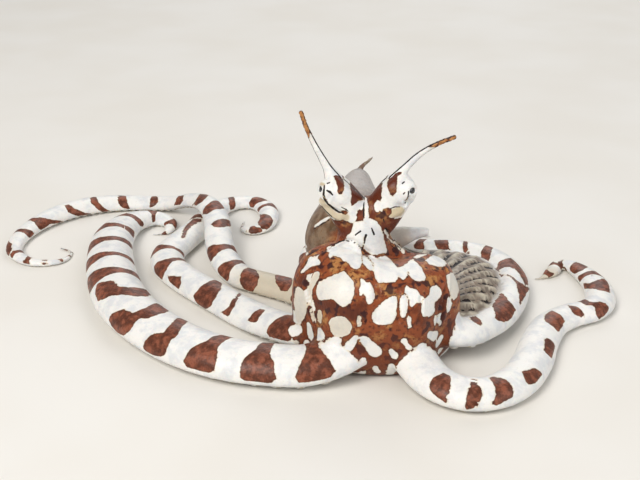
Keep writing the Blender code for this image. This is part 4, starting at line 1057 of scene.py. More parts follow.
def thinned(skin, most):
    """Thins the mesh to this many triangles: the arms and the back evenly, the crown's front less, the
    head not at all."""
    mesh = skin.data
    points = points_of(mesh)
    front = (from_crown(points) < CROWN_RADIUS + 1.5) & (points[:, 1] < 4.0) & (points[:, 2] > 4.0)
    weight = np.where(is_head(points), 0.0, np.where(front, FRONT_THINNING, ARM_THINNING))
    group = skin.vertex_groups.new(name="thinning")
    for value in (FRONT_THINNING, ARM_THINNING):
        group.add(np.flatnonzero(weight == value).tolist(), value, "REPLACE")
    share = most / len(triangles_of(mesh))
    with_modifier(
        skin, "DECIMATE", ratio=share, vertex_group="thinning", vertex_group_factor=1000.0,
        use_collapse_triangulate=True,
    )
    skin.vertex_groups.clear()


def is_head(points):
    """Whether each point belongs to the head, its stalks and its bulbs."""
    return (points[:, 2] > HEAD_FOOT) & (points[:, 1] < HEAD_BACK)


def parted_head(mesh):
    """Parts each face of the head in four, and rounds what that leaves flat."""
    shape = bmesh.new()
    shape.from_mesh(mesh)
    edges = [
        edge for edge in shape.edges
        if all(vertex.co.z > HEAD_FOOT * MM and vertex.co.y < HEAD_BACK * MM for vertex in edge.verts)
    ]
    bmesh.ops.subdivide_edges(shape, edges=edges, cuts=1, use_grid_fill=True)
    bmesh.ops.triangulate(shape, faces=shape.faces)
    shape.to_mesh(mesh)
    shape.free()
    points = points_of(mesh)
    set_points(mesh, relaxed(points, edges_of(mesh), 0.5 * is_head(points), 4))


def folded(points, normals, finder):
    """Each point moved along its normal: down by depth × exp(-1.2 (distance / width)²) along each fold,
    a little up on both sides of it, and by the lids round the eyes."""
    push = np.zeros(len(points))
    for depth, pixels in FOLDS.values():
        places, widths = finder.stroke(pixels)
        width = widths.mean()
        far = np.maximum(width - stroke_depth(points, places, widths), 0) / width
        push -= depth * np.exp(-1.2 * far**2)
        push += 0.3 * depth * np.exp(-(((far - 1.9) / 0.7) ** 2))
    for side in EYE_BULBS:
        push += lid_lift(points, side)
    return points + normals * push[:, None]


def shaped_skin(voxel, most):
    """The skin: all bodies of flesh drawn into one mesh, smoothed where they meet, thinned, folded, and
    kept above the floor."""
    skin = new_object("skin", new_mesh("skin", *joined(skin_parts())))
    mesh = with_modifier(skin, "REMESH", mode="VOXEL", voxel_size=voxel, adaptivity=0.0)
    points, edges = points_of(mesh), edges_of(mesh)
    points = relaxed(points, edges, 0.5, 3)
    points = relaxed(points, edges, 0.6 * junction_weight(points), 45)
    set_points(mesh, points)
    thinned(skin, most)
    mesh = skin.data
    parted_head(mesh)
    points = points_of(mesh)
    points = folded(points, normals_of(mesh), Finder(points, triangles_of(mesh)))
    points[:, 2] = np.maximum(points[:, 2], SKIN_LIFT)
    set_points(mesh, points)
    mesh.shade_smooth()
    return skin


def outline_depth(flat, outline):
    """How far each flat point lies inside a closed outline, below 0 outside it: the least distance to an
    edge, and inside where a line to its right crosses the outline an odd number of times."""
    first, last = outline, np.roll(outline, -1, axis=0)
    reach = last - first
    offset = flat[:, None] - first
    h = np.clip((offset * reach).sum(-1) / np.maximum((reach**2).sum(-1), 1e-9), 0.0, 1.0)
    far = np.linalg.norm(offset - h[..., None] * reach, axis=-1).min(1)
    level = flat[:, None, 1]
    crossed = (first[:, 1] > level) != (last[:, 1] > level)
    rise = np.where(np.abs(reach[:, 1]) < 1e-9, 1e-9, reach[:, 1])
    at = first[:, 0] + (level - first[:, 1]) * reach[:, 0] / rise
    inside = (crossed & (flat[:, None, 0] < at)).sum(1) % 2 == 1
    return np.where(inside, far, -far)


def unrolled(lie, table):
    """An arm's skin laid flat: distance along, and distance round it from its crest, which is the half
    width × the angle from the crest to the widest place and on × 0.89."""
    half = np.interp(lie[:, 0], table[:, 0], table[:, 13])
    turn = np.arctan2(lie[:, 1], lie[:, 2] + ARM_WIDEST)
    return np.column_stack([lie[:, 0], 0.89 * half * turn])


def seen_outline(pixels, flat, across, down):
    """A pixel outline laid on an arm: each corner is the mean of the nearest seen vertices' flat places,
    which weigh 1 / (distance² + 0.2)."""
    corners = []
    for u, v in pixels:
        far = (across - u) ** 2 + (down - v) ** 2
        near = np.argpartition(far, 5)[:5]
        near = near[np.abs(flat[near, 0] - flat[near[np.argmin(far[near])], 0]) < 2.0]
        weight = 1 / (far[near] + 0.2)
        corners.append((flat[near] * weight[:, None]).sum(0) / weight.sum())
    return np.array(corners)


def ruled_bands(table, taken, outer, rng):
    """Outlines of bands by rule over the stretches of an arm that the photograph hides, each further
    from the last by the period for the arm's half width there."""
    outlines = []
    at = 5.0
    while at < table[-1, 0] - 0.8:
        half = np.interp(at, table[:, 0], table[:, 13])
        period = np.interp(half, *BAND_PERIODS)
        if min([abs(at - place) for place in taken], default=99.0) > 0.8 * period:
            shape = np.array(BAND_OUTLINE) + rng.uniform(-0.06, 0.06, (len(BAND_OUTLINE), 2))
            shape[:, 0] += rng.uniform(-0.25, 0.25) * shape[:, 1]
            wide = period * BAND_SHARE * rng.uniform(0.85, 1.15)
            outlines.append(np.column_stack([at + shape[:, 0] * wide, shape[:, 1] * outer * 1.36 * half]))
            at += period
        else:
            at += 0.25 * period
    return outlines


def outlines_depth(flat, outlines):
    """How far each flat point lies inside one of several outlines, below 0 outside."""
    depth = np.full(len(flat), BARE)
    for outline in outlines:
        near = within(flat, outline.min(0) - 3.0, outline.max(0) + 3.0)
        if len(near):
            depth[near] = np.maximum(depth[near], outline_depth(flat[near], outline))
    return depth


def seen_vertices(points, tree):
    """Which vertices the camera sees: those whose line of sight ends within 0.5 mm of them. The tree takes
    one line at a time."""
    seen = np.zeros(len(points), bool)
    origin = Vector(CAMERA_PLACE)
    for index, place in enumerate(points):
        toward = Vector(place) - origin
        hit = tree.ray_cast(origin, toward.normalized())[3]
        seen[index] = hit is not None and hit > toward.length - 0.5
    return seen


def mantle_share(points):
    """How surely each point is the mantle's: its measure from the mantle's middle line, in its own
    half width and height, eased out from 1.1 to 1.35, and eased in behind the head and above the arms."""
    sections = even_curve(MANTLE_SECTIONS, 0.8)
    y = points[:, 1]
    x, z, wide, high = (np.interp(y, sections[:, 1], sections[:, i]) for i in (0, 2, 3, 4))
    measure = np.hypot((points[:, 0] - x) / wide, (points[:, 2] - z) / high)
    return (1 - carried(measure, 1.1, 1.35)) * carried(y, 6.5, 10.0) * carried(points[:, 2], 9.0, 13.0)


def strewn_strokes(points, normals, allowed, taken, rng):
    """Blotches by rule where the photograph shows none: a chosen vertex takes one if it is far enough
    from those before it, drawn out along the skin by up to 1.1 × its own radius."""
    strokes = []
    order = rng.permutation(np.flatnonzero(allowed))
    taken = np.array(taken)
    for index in order[:STREWN_TRIES]:
        place = points[index]
        radius = rng.uniform(*STREWN_RADII)
        if np.linalg.norm(taken - place, axis=1).min() < radius + STREWN_GAP:
            continue
        along = np.cross(normals[index], rng.normal(size=3))
        along = unit(along + np.array([0.0, 0.0, 0.9]) * np.sign(along[2]))
        along -= normals[index] * (along @ normals[index])
        reach = unit(along) * radius * rng.uniform(0.3, 1.1)
        strokes.append((np.array([place - reach, place + reach]), np.array([radius * 0.8, radius * 0.55])))
        taken = np.vstack([taken, place])
    return strokes


def arm_bands(points, found, lie, visible, rng):
    """How far each point lies inside a dark band of its arm, below 0 outside: the bands that the
    photograph shows, and bands by rule where it shows none."""
    banded = np.full(len(points), BARE)
    across, down, _ = pixels_of(points)
    for index, name in enumerate(ARMS):
        table = arm_table(name, 0.6)
        own = np.flatnonzero(found == index)
        flat = unrolled(lie[own], table)
        shown = visible[own]
        outlines = [
            seen_outline(pixels, flat[shown], across[own][shown], down[own][shown])
            for pixels in BANDS_SEEN.get(name, [])
        ]
        taken = [outline[:, 0].mean() for outline in outlines]
        outlines += ruled_bands(table, taken, ARMS[name][2], rng)
        banded[own] = outlines_depth(flat, outlines)
    return banded


def pale_marks(points, turned, mantle, placed):
    """The pale marks that the photograph shows on the body: how far each point lies inside one, below 0
    outside; how tan it is; its tone; and the mantle's grey, partly painted shade, which strokes on the
    mantle clear."""
    across, down, depth = pixels_of(points)
    flat, scale = np.column_stack([across, down]), depth / CAMERA_FOCAL
    ahead = (turned < 0.5) & (mantle < 0.3) & (points[:, 1] < FRONT_DEPTH)
    low = ahead & (points[:, 2] < PALE_HEIGHT)
    pale = np.full(len(points), BARE)
    tan, tone = np.zeros(len(points)), np.zeros(len(points))
    for name, pixels in PALE_OUTLINES.items():
        depth = outlines_depth(flat, [np.array(pixels)]) * scale - FACING_WEIGHT * turned
        depth = np.where(low, depth, BARE)
        pale = np.maximum(pale, depth)
        tan = np.maximum(tan, TANNED.get(name, 0.0) * carried(depth, -0.2, 0.3))
    for u, v, spread, amount in SKIN_TONES:
        far = np.hypot(flat[:, 0] - u, flat[:, 1] - v) / spread
        tone += np.where(ahead, amount * np.exp(-(far**2)), 0.0)
    for name, (places, radii) in placed.items():
        depth = stroke_depth(points, places, radii + STROKE_SPREAD, STROKE_DRAW)
        pale = np.maximum(pale, depth)
        tan = np.maximum(tan, TANNED.get(name, 0.0) * carried(depth, -0.2, 0.4))
        if name.startswith("mantle"):
            mantle = mantle * (1 - carried(depth, -0.2, 0.1))
    return pale, tan, tone, mantle


def rust_patches(points, dark, finder):
    """The body's dark depth with the head's rust patches, which lie on its front and, mirrored in depth,
    on its back, and with its rust strokes."""
    front = points.copy()
    front[:, 1] = -np.abs(points[:, 1])
    head = np.flatnonzero(points[:, 2] > RUST_HEIGHT)
    across, down, depth = (values[head] for values in pixels_of(front))
    flat = np.column_stack([across, down])
    for pixels in RUST_PATCHES.values():
        inside = outline_depth(flat, np.array(pixels)) * depth / CAMERA_FOCAL
        dark[head] = np.maximum(dark[head], inside)
    return deepest(points, dark, RUST_STROKES, finder)


def deepest(points, depth, strokes, finder):
    """The most of a depth and of those in several strokes."""
    for pixels in strokes.values():
        depth = np.maximum(depth, stroke_depth(points, *finder.stroke(pixels), STROKE_DRAW))
    return depth


def mark_skin(skin):
    """Works out the skin's markings, one number for each vertex and each of them: in millimetres, dark
    (over 0 in a dark patch) and ink (over 0 in a black line, and in the painted shade of the web's creases);
    shares from 0 to 1, which are rust, grey, tan and deep, where rust is darker; and tone, ochre over 0 and
    dark below. The grey of the mantle and web is partly painted shade, and the tan also holds painted shade
    on two arms and painted highlights on the web's ridges."""
    mesh = skin.data
    rng = np.random.default_rng(SEED)
    points, normals = points_of(mesh), normals_of(mesh)
    finder = Finder(points, triangles_of(mesh))
    found, lie, measure = arm_places(points)
    armness = (found >= 0) * carried(from_crown(points), CROWN_RADIUS - 0.5, CROWN_RADIUS + 4.5)
    armness = armness * (1 - carried(measure, 1.35, 1.6))
    mantle = mantle_share(points)
    web, fold = web_share(points)
    armness *= (1 - mantle) * (1 - carried(web, 0.3, 0.9))
    banded = arm_bands(points, found, lie, seen_vertices(points, finder.tree) & (measure < 1.25), rng)
    placed = {name: finder.stroke(pixels) for name, pixels in PALE_STROKES.items()}
    taken = [place for places, _ in placed.values() for place in places]
    shown = (normals @ SIGHT < 0.1) & (points[:, 2] > SHOWN_HEIGHT) & (points[:, 1] < SHOWN_DEPTH)
    lowest, highest = STREWN_HEIGHTS
    allowed = (armness < 0.3) & ~shown & (points[:, 2] > lowest) & (points[:, 2] < highest)
    strewn = strewn_strokes(points, normals, allowed & (mantle + web < 0.2), taken, rng)
    body = np.flatnonzero(armness < 0.999)
    near = points[body]
    turned = np.maximum(normals[body] @ SIGHT, 0.0)
    dark, ink_and_crease_shade = np.full(len(points), GROUND), np.full(len(points), -1.0)
    tan, tone = np.zeros(len(points)), np.zeros(len(points))
    pale, tan[body], tone[body], mantle[body] = pale_marks(near, turned, mantle[body], placed)
    for places, radii in strewn:
        pale = np.maximum(pale, stroke_depth(near, places, radii))
    for bulb in EYE_BULBS.values():
        pale = np.maximum(pale, BULB_RADIUS + BULB_HALO - np.linalg.norm(near - np.array(bulb), axis=1))
    siphon = even_curve(SIPHON_KNOTS, 0.5)[:, :3]
    funnel = near_curve(near, siphon, FUNNEL_REACH) * (near[:, [0, 2]] > FUNNEL_LEAST).all(1)
    pale = np.maximum(pale, (funnel - 0.3) * 4.0)
    mantle[body] *= 1 - carried(funnel, 0.15, 0.4)
    beige = 0.45 * carried(funnel, 0.2, 0.5) * (1 - carried(near[:, 0], 6.4, 7.8))
    tan[body] = np.maximum(tan[body], beige)
    pale = np.maximum(pale, (web[body] - 0.1) * 6.0)
    dark[body] = rust_patches(near, np.minimum(GROUND, -pale), finder)
    ink_and_crease_shade[body] = deepest(near, ink_and_crease_shade[body], INK_STROKES, finder)
    # Painted shade: the valleys between the web's folds turn black.
    ink_and_crease_shade = np.maximum(ink_and_crease_shade, np.where(web > 0.5, (-fold - 0.3) * 0.9, -1.0))
    papilla = near_curve(points, MANTLE_PAPILLA, 2.2) * (points[:, 1] > 47.0)
    painted_tail_shade, painted_root_shade = (found == list(ARMS).index(name) for name in ("arm_left_1", "arm_right_3"))
    run = lie[:, 0] / max(lie[painted_tail_shade, 0].max(), 1.0)
    tan = np.maximum.reduce([
        tan,
        # painted highlight: the ridges of the web's folds, which the grey skin turns light
        web * carried(fold, 0.05, 0.55),
        papilla,
        # painted shade: the first left arm's tip turns beige
        0.6 * carried(run, *TAIL_SHADE) * painted_tail_shade,
        # painted shade: the third right arm turns beige near the crown, where the crown shades it
        0.75 * (painted_root_shade * (1 - carried(lie[:, 0], *SHADED_RUN))) * armness,
    ])
    marks = {
        "dark": dark * (1 - armness) + banded * armness,
        "ink_and_crease_shade": ink_and_crease_shade,
        "rust": 1 - armness,
        # the mantle's and web's grey, partly their own colour and partly painted shade
        "grey_and_shade": np.clip(np.maximum(mantle + papilla, web), 0, 1),
        "tan": tan,
        "tone": tone,
        "deep": carried(points[:, 2], 30.5, 33.0) * (1 - mantle),
    }
    for name, values in marks.items():
        set_attribute(mesh, name, values)


def web_share(points):
    """How surely each point is the web's, and how high the web's fold stands there: the share is eased
    out from 0.9 to 1.8 mm off the web's grid, and towards the arm."""
    grid, reach, lift = (part.reshape(-1, *part.shape[2:]) for part in web_grid(120, 40))
    share, height = np.zeros(len(points)), np.zeros(len(points))
    near = within(points, grid.min(0) - 2.0, grid.max(0) + 2.0)
    for part in np.array_split(near, len(near) // 2000 + 1):
        far = np.linalg.norm(points[part, None] - grid[None], axis=2)
        best = far.argmin(1)
        share[part] = (1 - carried(far.min(1), 0.9, 1.8)) * (1 - carried(reach[best], 0.78, 0.95))
        height[part] = lift[best]
    return share, height


def horn_piece(side):
    """A horn: a tapered tube with low warts towards its tip, which stand up to 0.09 mm out of it by
    sin × sin along and round it. Its root lies 0.03 mm outside the skin's own stub."""
    rows = round_ends(horn_table(side, 0.2))
    rings = tube_rings(rows, HORN_SIDES)
    middle = rows[:, None, 1:4]
    share = carried(rows[:, 0] / rows[-1, 0], 0.45, 0.95)[:, None]
    turn = turns(HORN_SIDES)[None, :]
    run = rows[:, :1]
    wart = 0.09 * share * np.sin(run * 5.2 + 1.3 * np.sin(turn * 2)) * np.sin(turn * 3 + run * 1.7)
    wave = 0.05 * np.sin(run * 1.9) * np.cos(turn)
    rings = rings + unit(rings - middle) * (wart + wave + 0.03)[..., None]
    points, faces = closed_rings(rings)
    horn = new_object(f"horn_papilla_{side}", new_mesh(f"horn_papilla_{side}", points, faces))
    run = np.concatenate([np.repeat(rows[:, 0], HORN_SIDES), rows[[0, -1], 0]])
    share = run / run.max()
    half = np.concatenate([np.repeat(rows[:, 13], HORN_SIDES), rows[[0, -1], 13]])
    ahead = np.append(-(rows[:, 8:9] * np.cos(turn)).ravel(), [1.0, 1.0])
    from_front = np.arccos(np.clip(ahead, -1.0, 1.0))
    wave = np.append(np.tile(np.sin(turn[0] * 2), len(rows)), [0.0, 0.0])
    edge = np.clip(1 - np.abs(from_front - HORN_LINE[0] - 0.15) / 0.5, 0, 1)
    brown = (share - 0.68 + 0.03 * wave + 0.2 * edge) * 12.0
    set_attribute(horn.data, "dark", np.clip(brown, -1.0, 1.0))
    line = HORN_LINE[1] - np.abs(from_front - HORN_LINE[0]) * half
    set_attribute(horn.data, "ink_and_crease_shade", line - 0.12 * carried(share, 0.6, 0.9))
    for name, value in (("grey_and_shade", 0.0), ("tone", 1.1), ("deep", 0.0), ("rust", 1.0)):
        set_attribute(horn.data, name, np.full(len(points), value))
    set_attribute(horn.data, "tan", 0.45 * carried(share, 0.5, 0.8))
    return horn


def eye_piece(side):
    """An eyeball with a low bulge over the iris: radius × (1 + 0.05 exp(-(angle / 0.5)²)), its pole on
    the line that the eye looks along."""
    centre, look, level, upright = eye_frame(side)
    a = np.linspace(0, math.pi, 50)[1:-1, None]
    b = turns(64)[None, :]
    radius = EYE_RADIUS * (1 + 0.05 * np.exp(-((a / 0.5) ** 2)))
    shell = (
        (radius * np.cos(a) + 0 * b)[..., None] * look
        + (radius * np.sin(a) * np.cos(b))[..., None] * level
        + (radius * np.sin(a) * np.sin(b))[..., None] * upright
    )
    points, faces = closed_rings(centre + shell)
    eye = new_object(f"eyeball_{side}", new_mesh(f"eyeball_{side}", points, faces))
    set_attribute(eye.data, "level", (points - centre) @ level)
    set_attribute(eye.data, "above", (points - centre) @ upright)
    return eye


def cup_mesh(places, down, radii, depths):
    """Many suckers at once: the shape's rings turned round each one's axis, scaled by its radius and
    its depth, with a middle point in the cup and one in the arm."""
    across = unit(np.cross(down, [0.31, 0.95, 0.05]))
    third = np.cross(down, across)
    turn = turns(SUCKER_SIDES)
    shape = np.array(SUCKER_SHAPE)
    count = len(places)
    ring = across[:, None, :] * np.cos(turn)[None, :, None] + third[:, None, :] * np.sin(turn)[None, :, None]
    points = (
        places[:, None, None, :]
        + ring[:, None] * (radii[:, None] * shape[:, 0])[:, :, None, None]
        + down[:, None, None, :] * (depths[:, None] * shape[:, 1])[:, :, None, None]
    ).reshape(count, -1, 3)
    root = places - down * (depths * 0.55)[:, None]
    floor = places + down * (depths * 0.5)[:, None]
    points = np.concatenate([points, root[:, None], floor[:, None]], axis=1)
    one = outward(points[0], ring_faces(len(shape), SUCKER_SIDES))
    faces = (one[None] + (np.arange(count) * points.shape[1])[:, None, None]).reshape(-1, 3)
    return points.reshape(-1, 3), faces


def sucker_rows(name):
    """Places, axes, radii and depths of one arm's suckers: two staggered rows to its very tip, each
    sucker further along than the last by 0.34 of the half width there, or 0.42 mm."""
    table = arm_table(name, 0.5)
    at = [table[np.argmax(from_crown(table[:, 1:4]) > CROWN_RADIUS - 2.0), 0]]
    while at[-1] < table[-1, 0] - 0.6:
        half = np.interp(at[-1], table[:, 0], table[:, 13])
        at.append(at[-1] + max(0.34 * half, 0.42))
    rows = table_at(table, np.array(at[:-1]))
    sign = np.where(np.arange(len(rows)) % 2, 1.0, -1.0)[:, None]
    half, high = rows[:, 13:14], rows[:, 14:15]
    places = rows[:, 1:4] + rows[:, 7:10] * half * 0.4 * sign - rows[:, 10:13] * high * SUCKER_ROOT
    low = rows[:, 3] - rows[:, 14] * (1 + SUCKER_REACH)
    down = unit(-rows[:, 10:13] + rows[:, 7:10] * 0.12 * sign * carried(low, 0.2, 1.5)[:, None])
    down = np.where((low < 0.2)[:, None], [0.0, 0.0, -1.0], down)
    depth = (rows[:, 14] * (1 + SUCKER_REACH - SUCKER_ROOT)) * 0.97
    return places, down, np.maximum(rows[:, 13] * 0.27, 0.17), depth


def suckers_piece(name):
    """All the suckers of one arm as one mesh."""
    short = "suckers" + name[3:]
    return new_object(short, new_mesh(short, *cup_mesh(*sucker_rows(name))))


class Paint:
    """Builds a material's nodes."""

    def __init__(self, name):
        self.material = bpy.data.materials.new(name)
        self.material.use_nodes = True
        self.tree = self.material.node_tree
        self.shader = self.tree.nodes["Principled BSDF"]

    def node(self, kind, inputs=(), **settings):
        """A node with its settings, and its inputs by index or name."""
        made = self.tree.nodes.new(kind)
        for key, value in settings.items():
            setattr(made, key, value)
        for key, value in dict(inputs).items():
            if isinstance(value, bpy.types.NodeSocket):
                self.tree.links.new(value, made.inputs[key])
            else:
                made.inputs[key].default_value = value
        return made

    def attribute(self, name):
        """A number kept on the mesh."""
        return self.node("ShaderNodeAttribute", attribute_name=name).outputs["Fac"]

    def place(self):
        """Object coordinates, in metres."""
        return self.node("ShaderNodeTexCoord").outputs["Object"]

    def noise(self, size, detail=2.0, roughness=0.5):
        """Noise whose features measure size millimetres."""
        inputs = {"Vector": self.place(), "Scale": 1000.0 / size, "Detail": detail, "Roughness": roughness}
        return self.node("ShaderNodeTexNoise", inputs).outputs["Fac"]

    def cells(self, size):
        """Distances to scattered points that lie about size millimetres apart."""
        inputs = {"Vector": self.place(), "Scale": 1000.0 / size}
        return self.node("ShaderNodeTexVoronoi", inputs).outputs["Distance"]

    def sums(self, operation, first, second=0.0, third=0.0):
        """One sum of numbers."""
        return self.node("ShaderNodeMath", {0: first, 1: second, 2: third}, operation=operation).outputs[0]

    def times(self, first, second):
        """Two numbers multiplied."""
        return self.sums("MULTIPLY", first, second)

    def eased(self, value, low, high, first=0.0, last=1.0):
        """A number carried smoothly from first at low to last at high."""
        inputs = {"Value": value, "From Min": low, "From Max": high, "To Min": first, "To Max": last}
        return self.node("ShaderNodeMapRange", inputs, interpolation_type="SMOOTHSTEP").outputs["Result"]

    def mixed(self, share, first, second):
        """Two colours mixed by a share."""
        made = self.node("ShaderNodeMix", {"Factor": share}, data_type="RGBA")
        for index, colour in ((6, first), (7, second)):
            if isinstance(colour, bpy.types.NodeSocket):
                self.tree.links.new(colour, made.inputs[index])
            else:
                made.inputs[index].default_value = (*colour, 1.0)
        return made.outputs[2]

    def speckled(self, ground, colour, size, low, high, most=1.0, detail=3.0, roughness=0.6):
        """A ground with another colour over it where noise of this size rises from low to high."""
        share = self.eased(self.noise(size, detail, roughness), low, high, 0.0, most)
        return self.mixed(share, ground, colour)

    def bump(self, height, strength, distance):
        """A bump of this height in millimetres."""
        inputs = {"Height": height, "Strength": strength, "Distance": distance * MM}
        bump = self.node("ShaderNodeBump", inputs)
        self.tree.links.new(bump.outputs["Normal"], self.shader.inputs["Normal"])

    def finish(self, colour, roughness, **sockets):
        """Joins the colour and roughness to the shader and sets its other sockets."""
        for name, value in (("Base Color", colour), ("Roughness", roughness)):
            if isinstance(value, bpy.types.NodeSocket):
                self.tree.links.new(value, self.shader.inputs[name])
            else:
                self.shader.inputs[name].default_value = value
        for name, value in sockets.items():
            self.shader.inputs[name.replace("_", " ")].default_value = value
        return self.material


def rust_skin(paint, looks, cloud, height):
    """The body's pigment: ochre and dark places by its tone, blotches and speckles by noise, darker on
    the head and towards the floor."""
    tone, deep = paint.attribute("tone"), paint.attribute("deep")
    rust = paint.mixed(
        paint.eased(paint.sums("MULTIPLY_ADD", tone, 0.16, cloud), 0.5, 0.64), looks.rust, looks.ochre
    )
    dull = paint.sums("ADD", tone, paint.noise(1.6, 3.0, 0.6))
    rust = paint.mixed(paint.eased(dull, 0.35, -0.35), rust, looks.deep_rust)
    rust = paint.speckled(rust, looks.deep_rust, 1.1, 0.5, 0.66)
    rust = paint.speckled(rust, looks.purple, 2.2, 0.55, 0.65, 0.9, 1.0, 0.5)
    share = paint.times(paint.sums("SUBTRACT", deep, tone), paint.eased(cloud, 0.75, 0.4, 0.6, 1.0))
    rust = paint.mixed(paint.times(share, deep), rust, looks.head_rust)
    return paint.mixed(paint.eased(height, 18 * MM, 7 * MM, 0.0, 0.6), rust, looks.deep_rust)


def grey_skin(paint, looks, cloud, height, behind):
    """The mantle's and the web's skin, partly their own colour and partly painted shade: taupe and slate in
    clouds, paler towards the mantle's end, with a painted highlight on the web's ridges and dark speckles."""
    tan = paint.attribute("tan")
    slate = paint.mixed(paint.eased(cloud, 0.4, 0.62, 0.0, 0.75), looks.taupe, looks.slate)
    pallor = paint.sums("MULTIPLY_ADD", paint.noise(2.6, 3.0), 0.012, behind)
    fair = paint.times(paint.eased(pallor, 27 * MM, 41 * MM), paint.eased(height, 10 * MM, 14 * MM))
    slate = paint.mixed(paint.times(fair, paint.sums("SUBTRACT", 1.0, tan)), slate, looks.lilac)
    # Painted highlight: low down, where the tan share is high, the web's fold ridges turn light.
    slate = paint.mixed(paint.times(tan, paint.eased(height, 14 * MM, 10 * MM)), slate, looks.web)
    return paint.speckled(slate, looks.deep_rust, 0.9, 0.56, 0.72, 0.7, 3.0, 0.65)


def skin_paint(looks):
    """Wet skin: a pale ground with sharp dark patches, rust on the body and dark brown on the arms, each
    with a darker rim and a yellowish halo; grey on the mantle and web, partly painted shade, with painted
    highlights on the web's ridges; thin black lines; and painted shade, black in the web's creases and beige
    on two arms."""
    existing = bpy.data.materials.get("octopus_skin")
    if existing:
        return existing
    paint = Paint("octopus_skin")
    _, behind, height = paint.node("ShaderNodeSeparateXYZ", {0: paint.place()}).outputs
    dark = paint.sums("MULTIPLY_ADD", paint.noise(1.5, 3.0, 0.6), 0.8, -0.4)
    dark = paint.sums("ADD", paint.attribute("dark"), dark)
    fleck = paint.noise(0.55, 2.0)
    cloud = paint.noise(3.6, 3.0, 0.6)
    pale = paint.mixed(paint.eased(cloud, 0.42, 0.66), looks.pale, looks.pale_shade)
    pale = paint.mixed(paint.attribute("tan"), pale, looks.tan)
    pale = paint.mixed(paint.eased(fleck, 0.6, 0.78, 0.0, 0.25), pale, looks.tan)
    pale = paint.mixed(paint.eased(dark, -0.3, -0.04, 0.0, 0.4), pale, looks.halo)
    brown = paint.speckled(looks.band, looks.band_light, 2.0, 0.4, 0.65)
    brown = paint.mixed(paint.eased(fleck, 0.52, 0.74, 0.0, 0.4), brown, looks.purple)
    pigment = paint.mixed(paint.attribute("rust"), brown, rust_skin(paint, looks, cloud, height))
    pigment = paint.mixed(paint.eased(dark, 0.34, 0.05, 0.0, 0.75), pigment, looks.rim)
    colour = paint.mixed(paint.eased(dark, -0.05, 0.05), pale, pigment)
    slate = grey_skin(paint, looks, cloud, height, behind)
    # The mantle and web take their grey, partly their own colour and partly painted shade.
    colour = paint.mixed(paint.times(paint.attribute("grey_and_shade"), 0.9), colour, slate)
    # The black lines, which also hold the painted shade in the web's creases.
    line = paint.sums("MULTIPLY_ADD", paint.noise(0.8, 2.0), 0.2, paint.attribute("ink_and_crease_shade"))
    colour = paint.mixed(paint.eased(line, 0.06, 0.14), colour, looks.ink_and_crease_shade)
    grain = paint.sums("MULTIPLY_ADD", paint.cells(0.55), -0.5, paint.noise(0.9, 4.0, 0.6))
    paint.bump(grain, 0.55, 0.22)
    gloss = paint.eased(paint.noise(1.6, 2.0), 0.3, 0.7, 0.32, 0.5)
    return paint.finish(
        colour, gloss, Specular_IOR_Level=0.25, Coat_Weight=0.1, Coat_Roughness=0.2, Subsurface_Weight=0.12,
        Subsurface_Radius=(1.0, 0.45, 0.3), Subsurface_Scale=0.0008,
    )


def sucker_paint(looks):
    """Cream suckers with duller spots."""
    paint = Paint("octopus_sucker")
    colour = paint.speckled(looks.pale, looks.tan, 0.8, 0.35, 0.7, 1.0, 2.0, 0.5)
    paint.bump(paint.noise(0.3, 2.0), 0.4, 0.08)
    return paint.finish(colour, 0.4, Coat_Weight=0.25, Coat_Roughness=0.2)


def eye_paint(looks):
    """A glossy eye: a gold iris with fine rays round a level black pupil, and a darker rim."""
    paint = Paint("octopus_eye")
    level, above = paint.attribute("level"), paint.attribute("above")
    wide, tall = (
        paint.sums("POWER", paint.sums("ABSOLUTE", paint.sums("DIVIDE", value, reach)), power)
        for value, reach, power in ((level, PUPIL_WIDTH, 3.0), (above, PUPIL_HEIGHT, 2.2))
    )
    pupil = paint.eased(paint.sums("ADD", wide, tall), 1.15, 0.9)
    far = paint.sums("SQRT", paint.sums("ADD", paint.times(level, level), paint.times(above, above)))
    angle = paint.times(paint.sums("ARCTAN2", above, level), 5.0)
    flow = paint.node("ShaderNodeCombineXYZ", {0: angle, 1: far}).outputs[0]
    rays = paint.node("ShaderNodeTexNoise", {"Vector": flow, "Scale": 2.4, "Detail": 3.0}).outputs["Fac"]
    iris = paint.mixed(paint.eased(rays, 0.35, 0.65), looks.iris, looks.iris_light)
    iris = paint.mixed(paint.eased(far, 1.75, 2.3), iris, looks.iris_rim)
    colour = paint.mixed(pupil, iris, looks.pupil)
    paint.bump(rays, 0.15, 0.05)
    return paint.finish(colour, 0.12, Coat_Weight=1.0, Coat_Roughness=0.03)


def colour_property(name, words, value):
    """A colour that the user may change."""
    return bpy.props.FloatVectorProperty(
        name=name, description=words, subtype="COLOR", size=3, min=0.0, max=1.0, default=value
    )


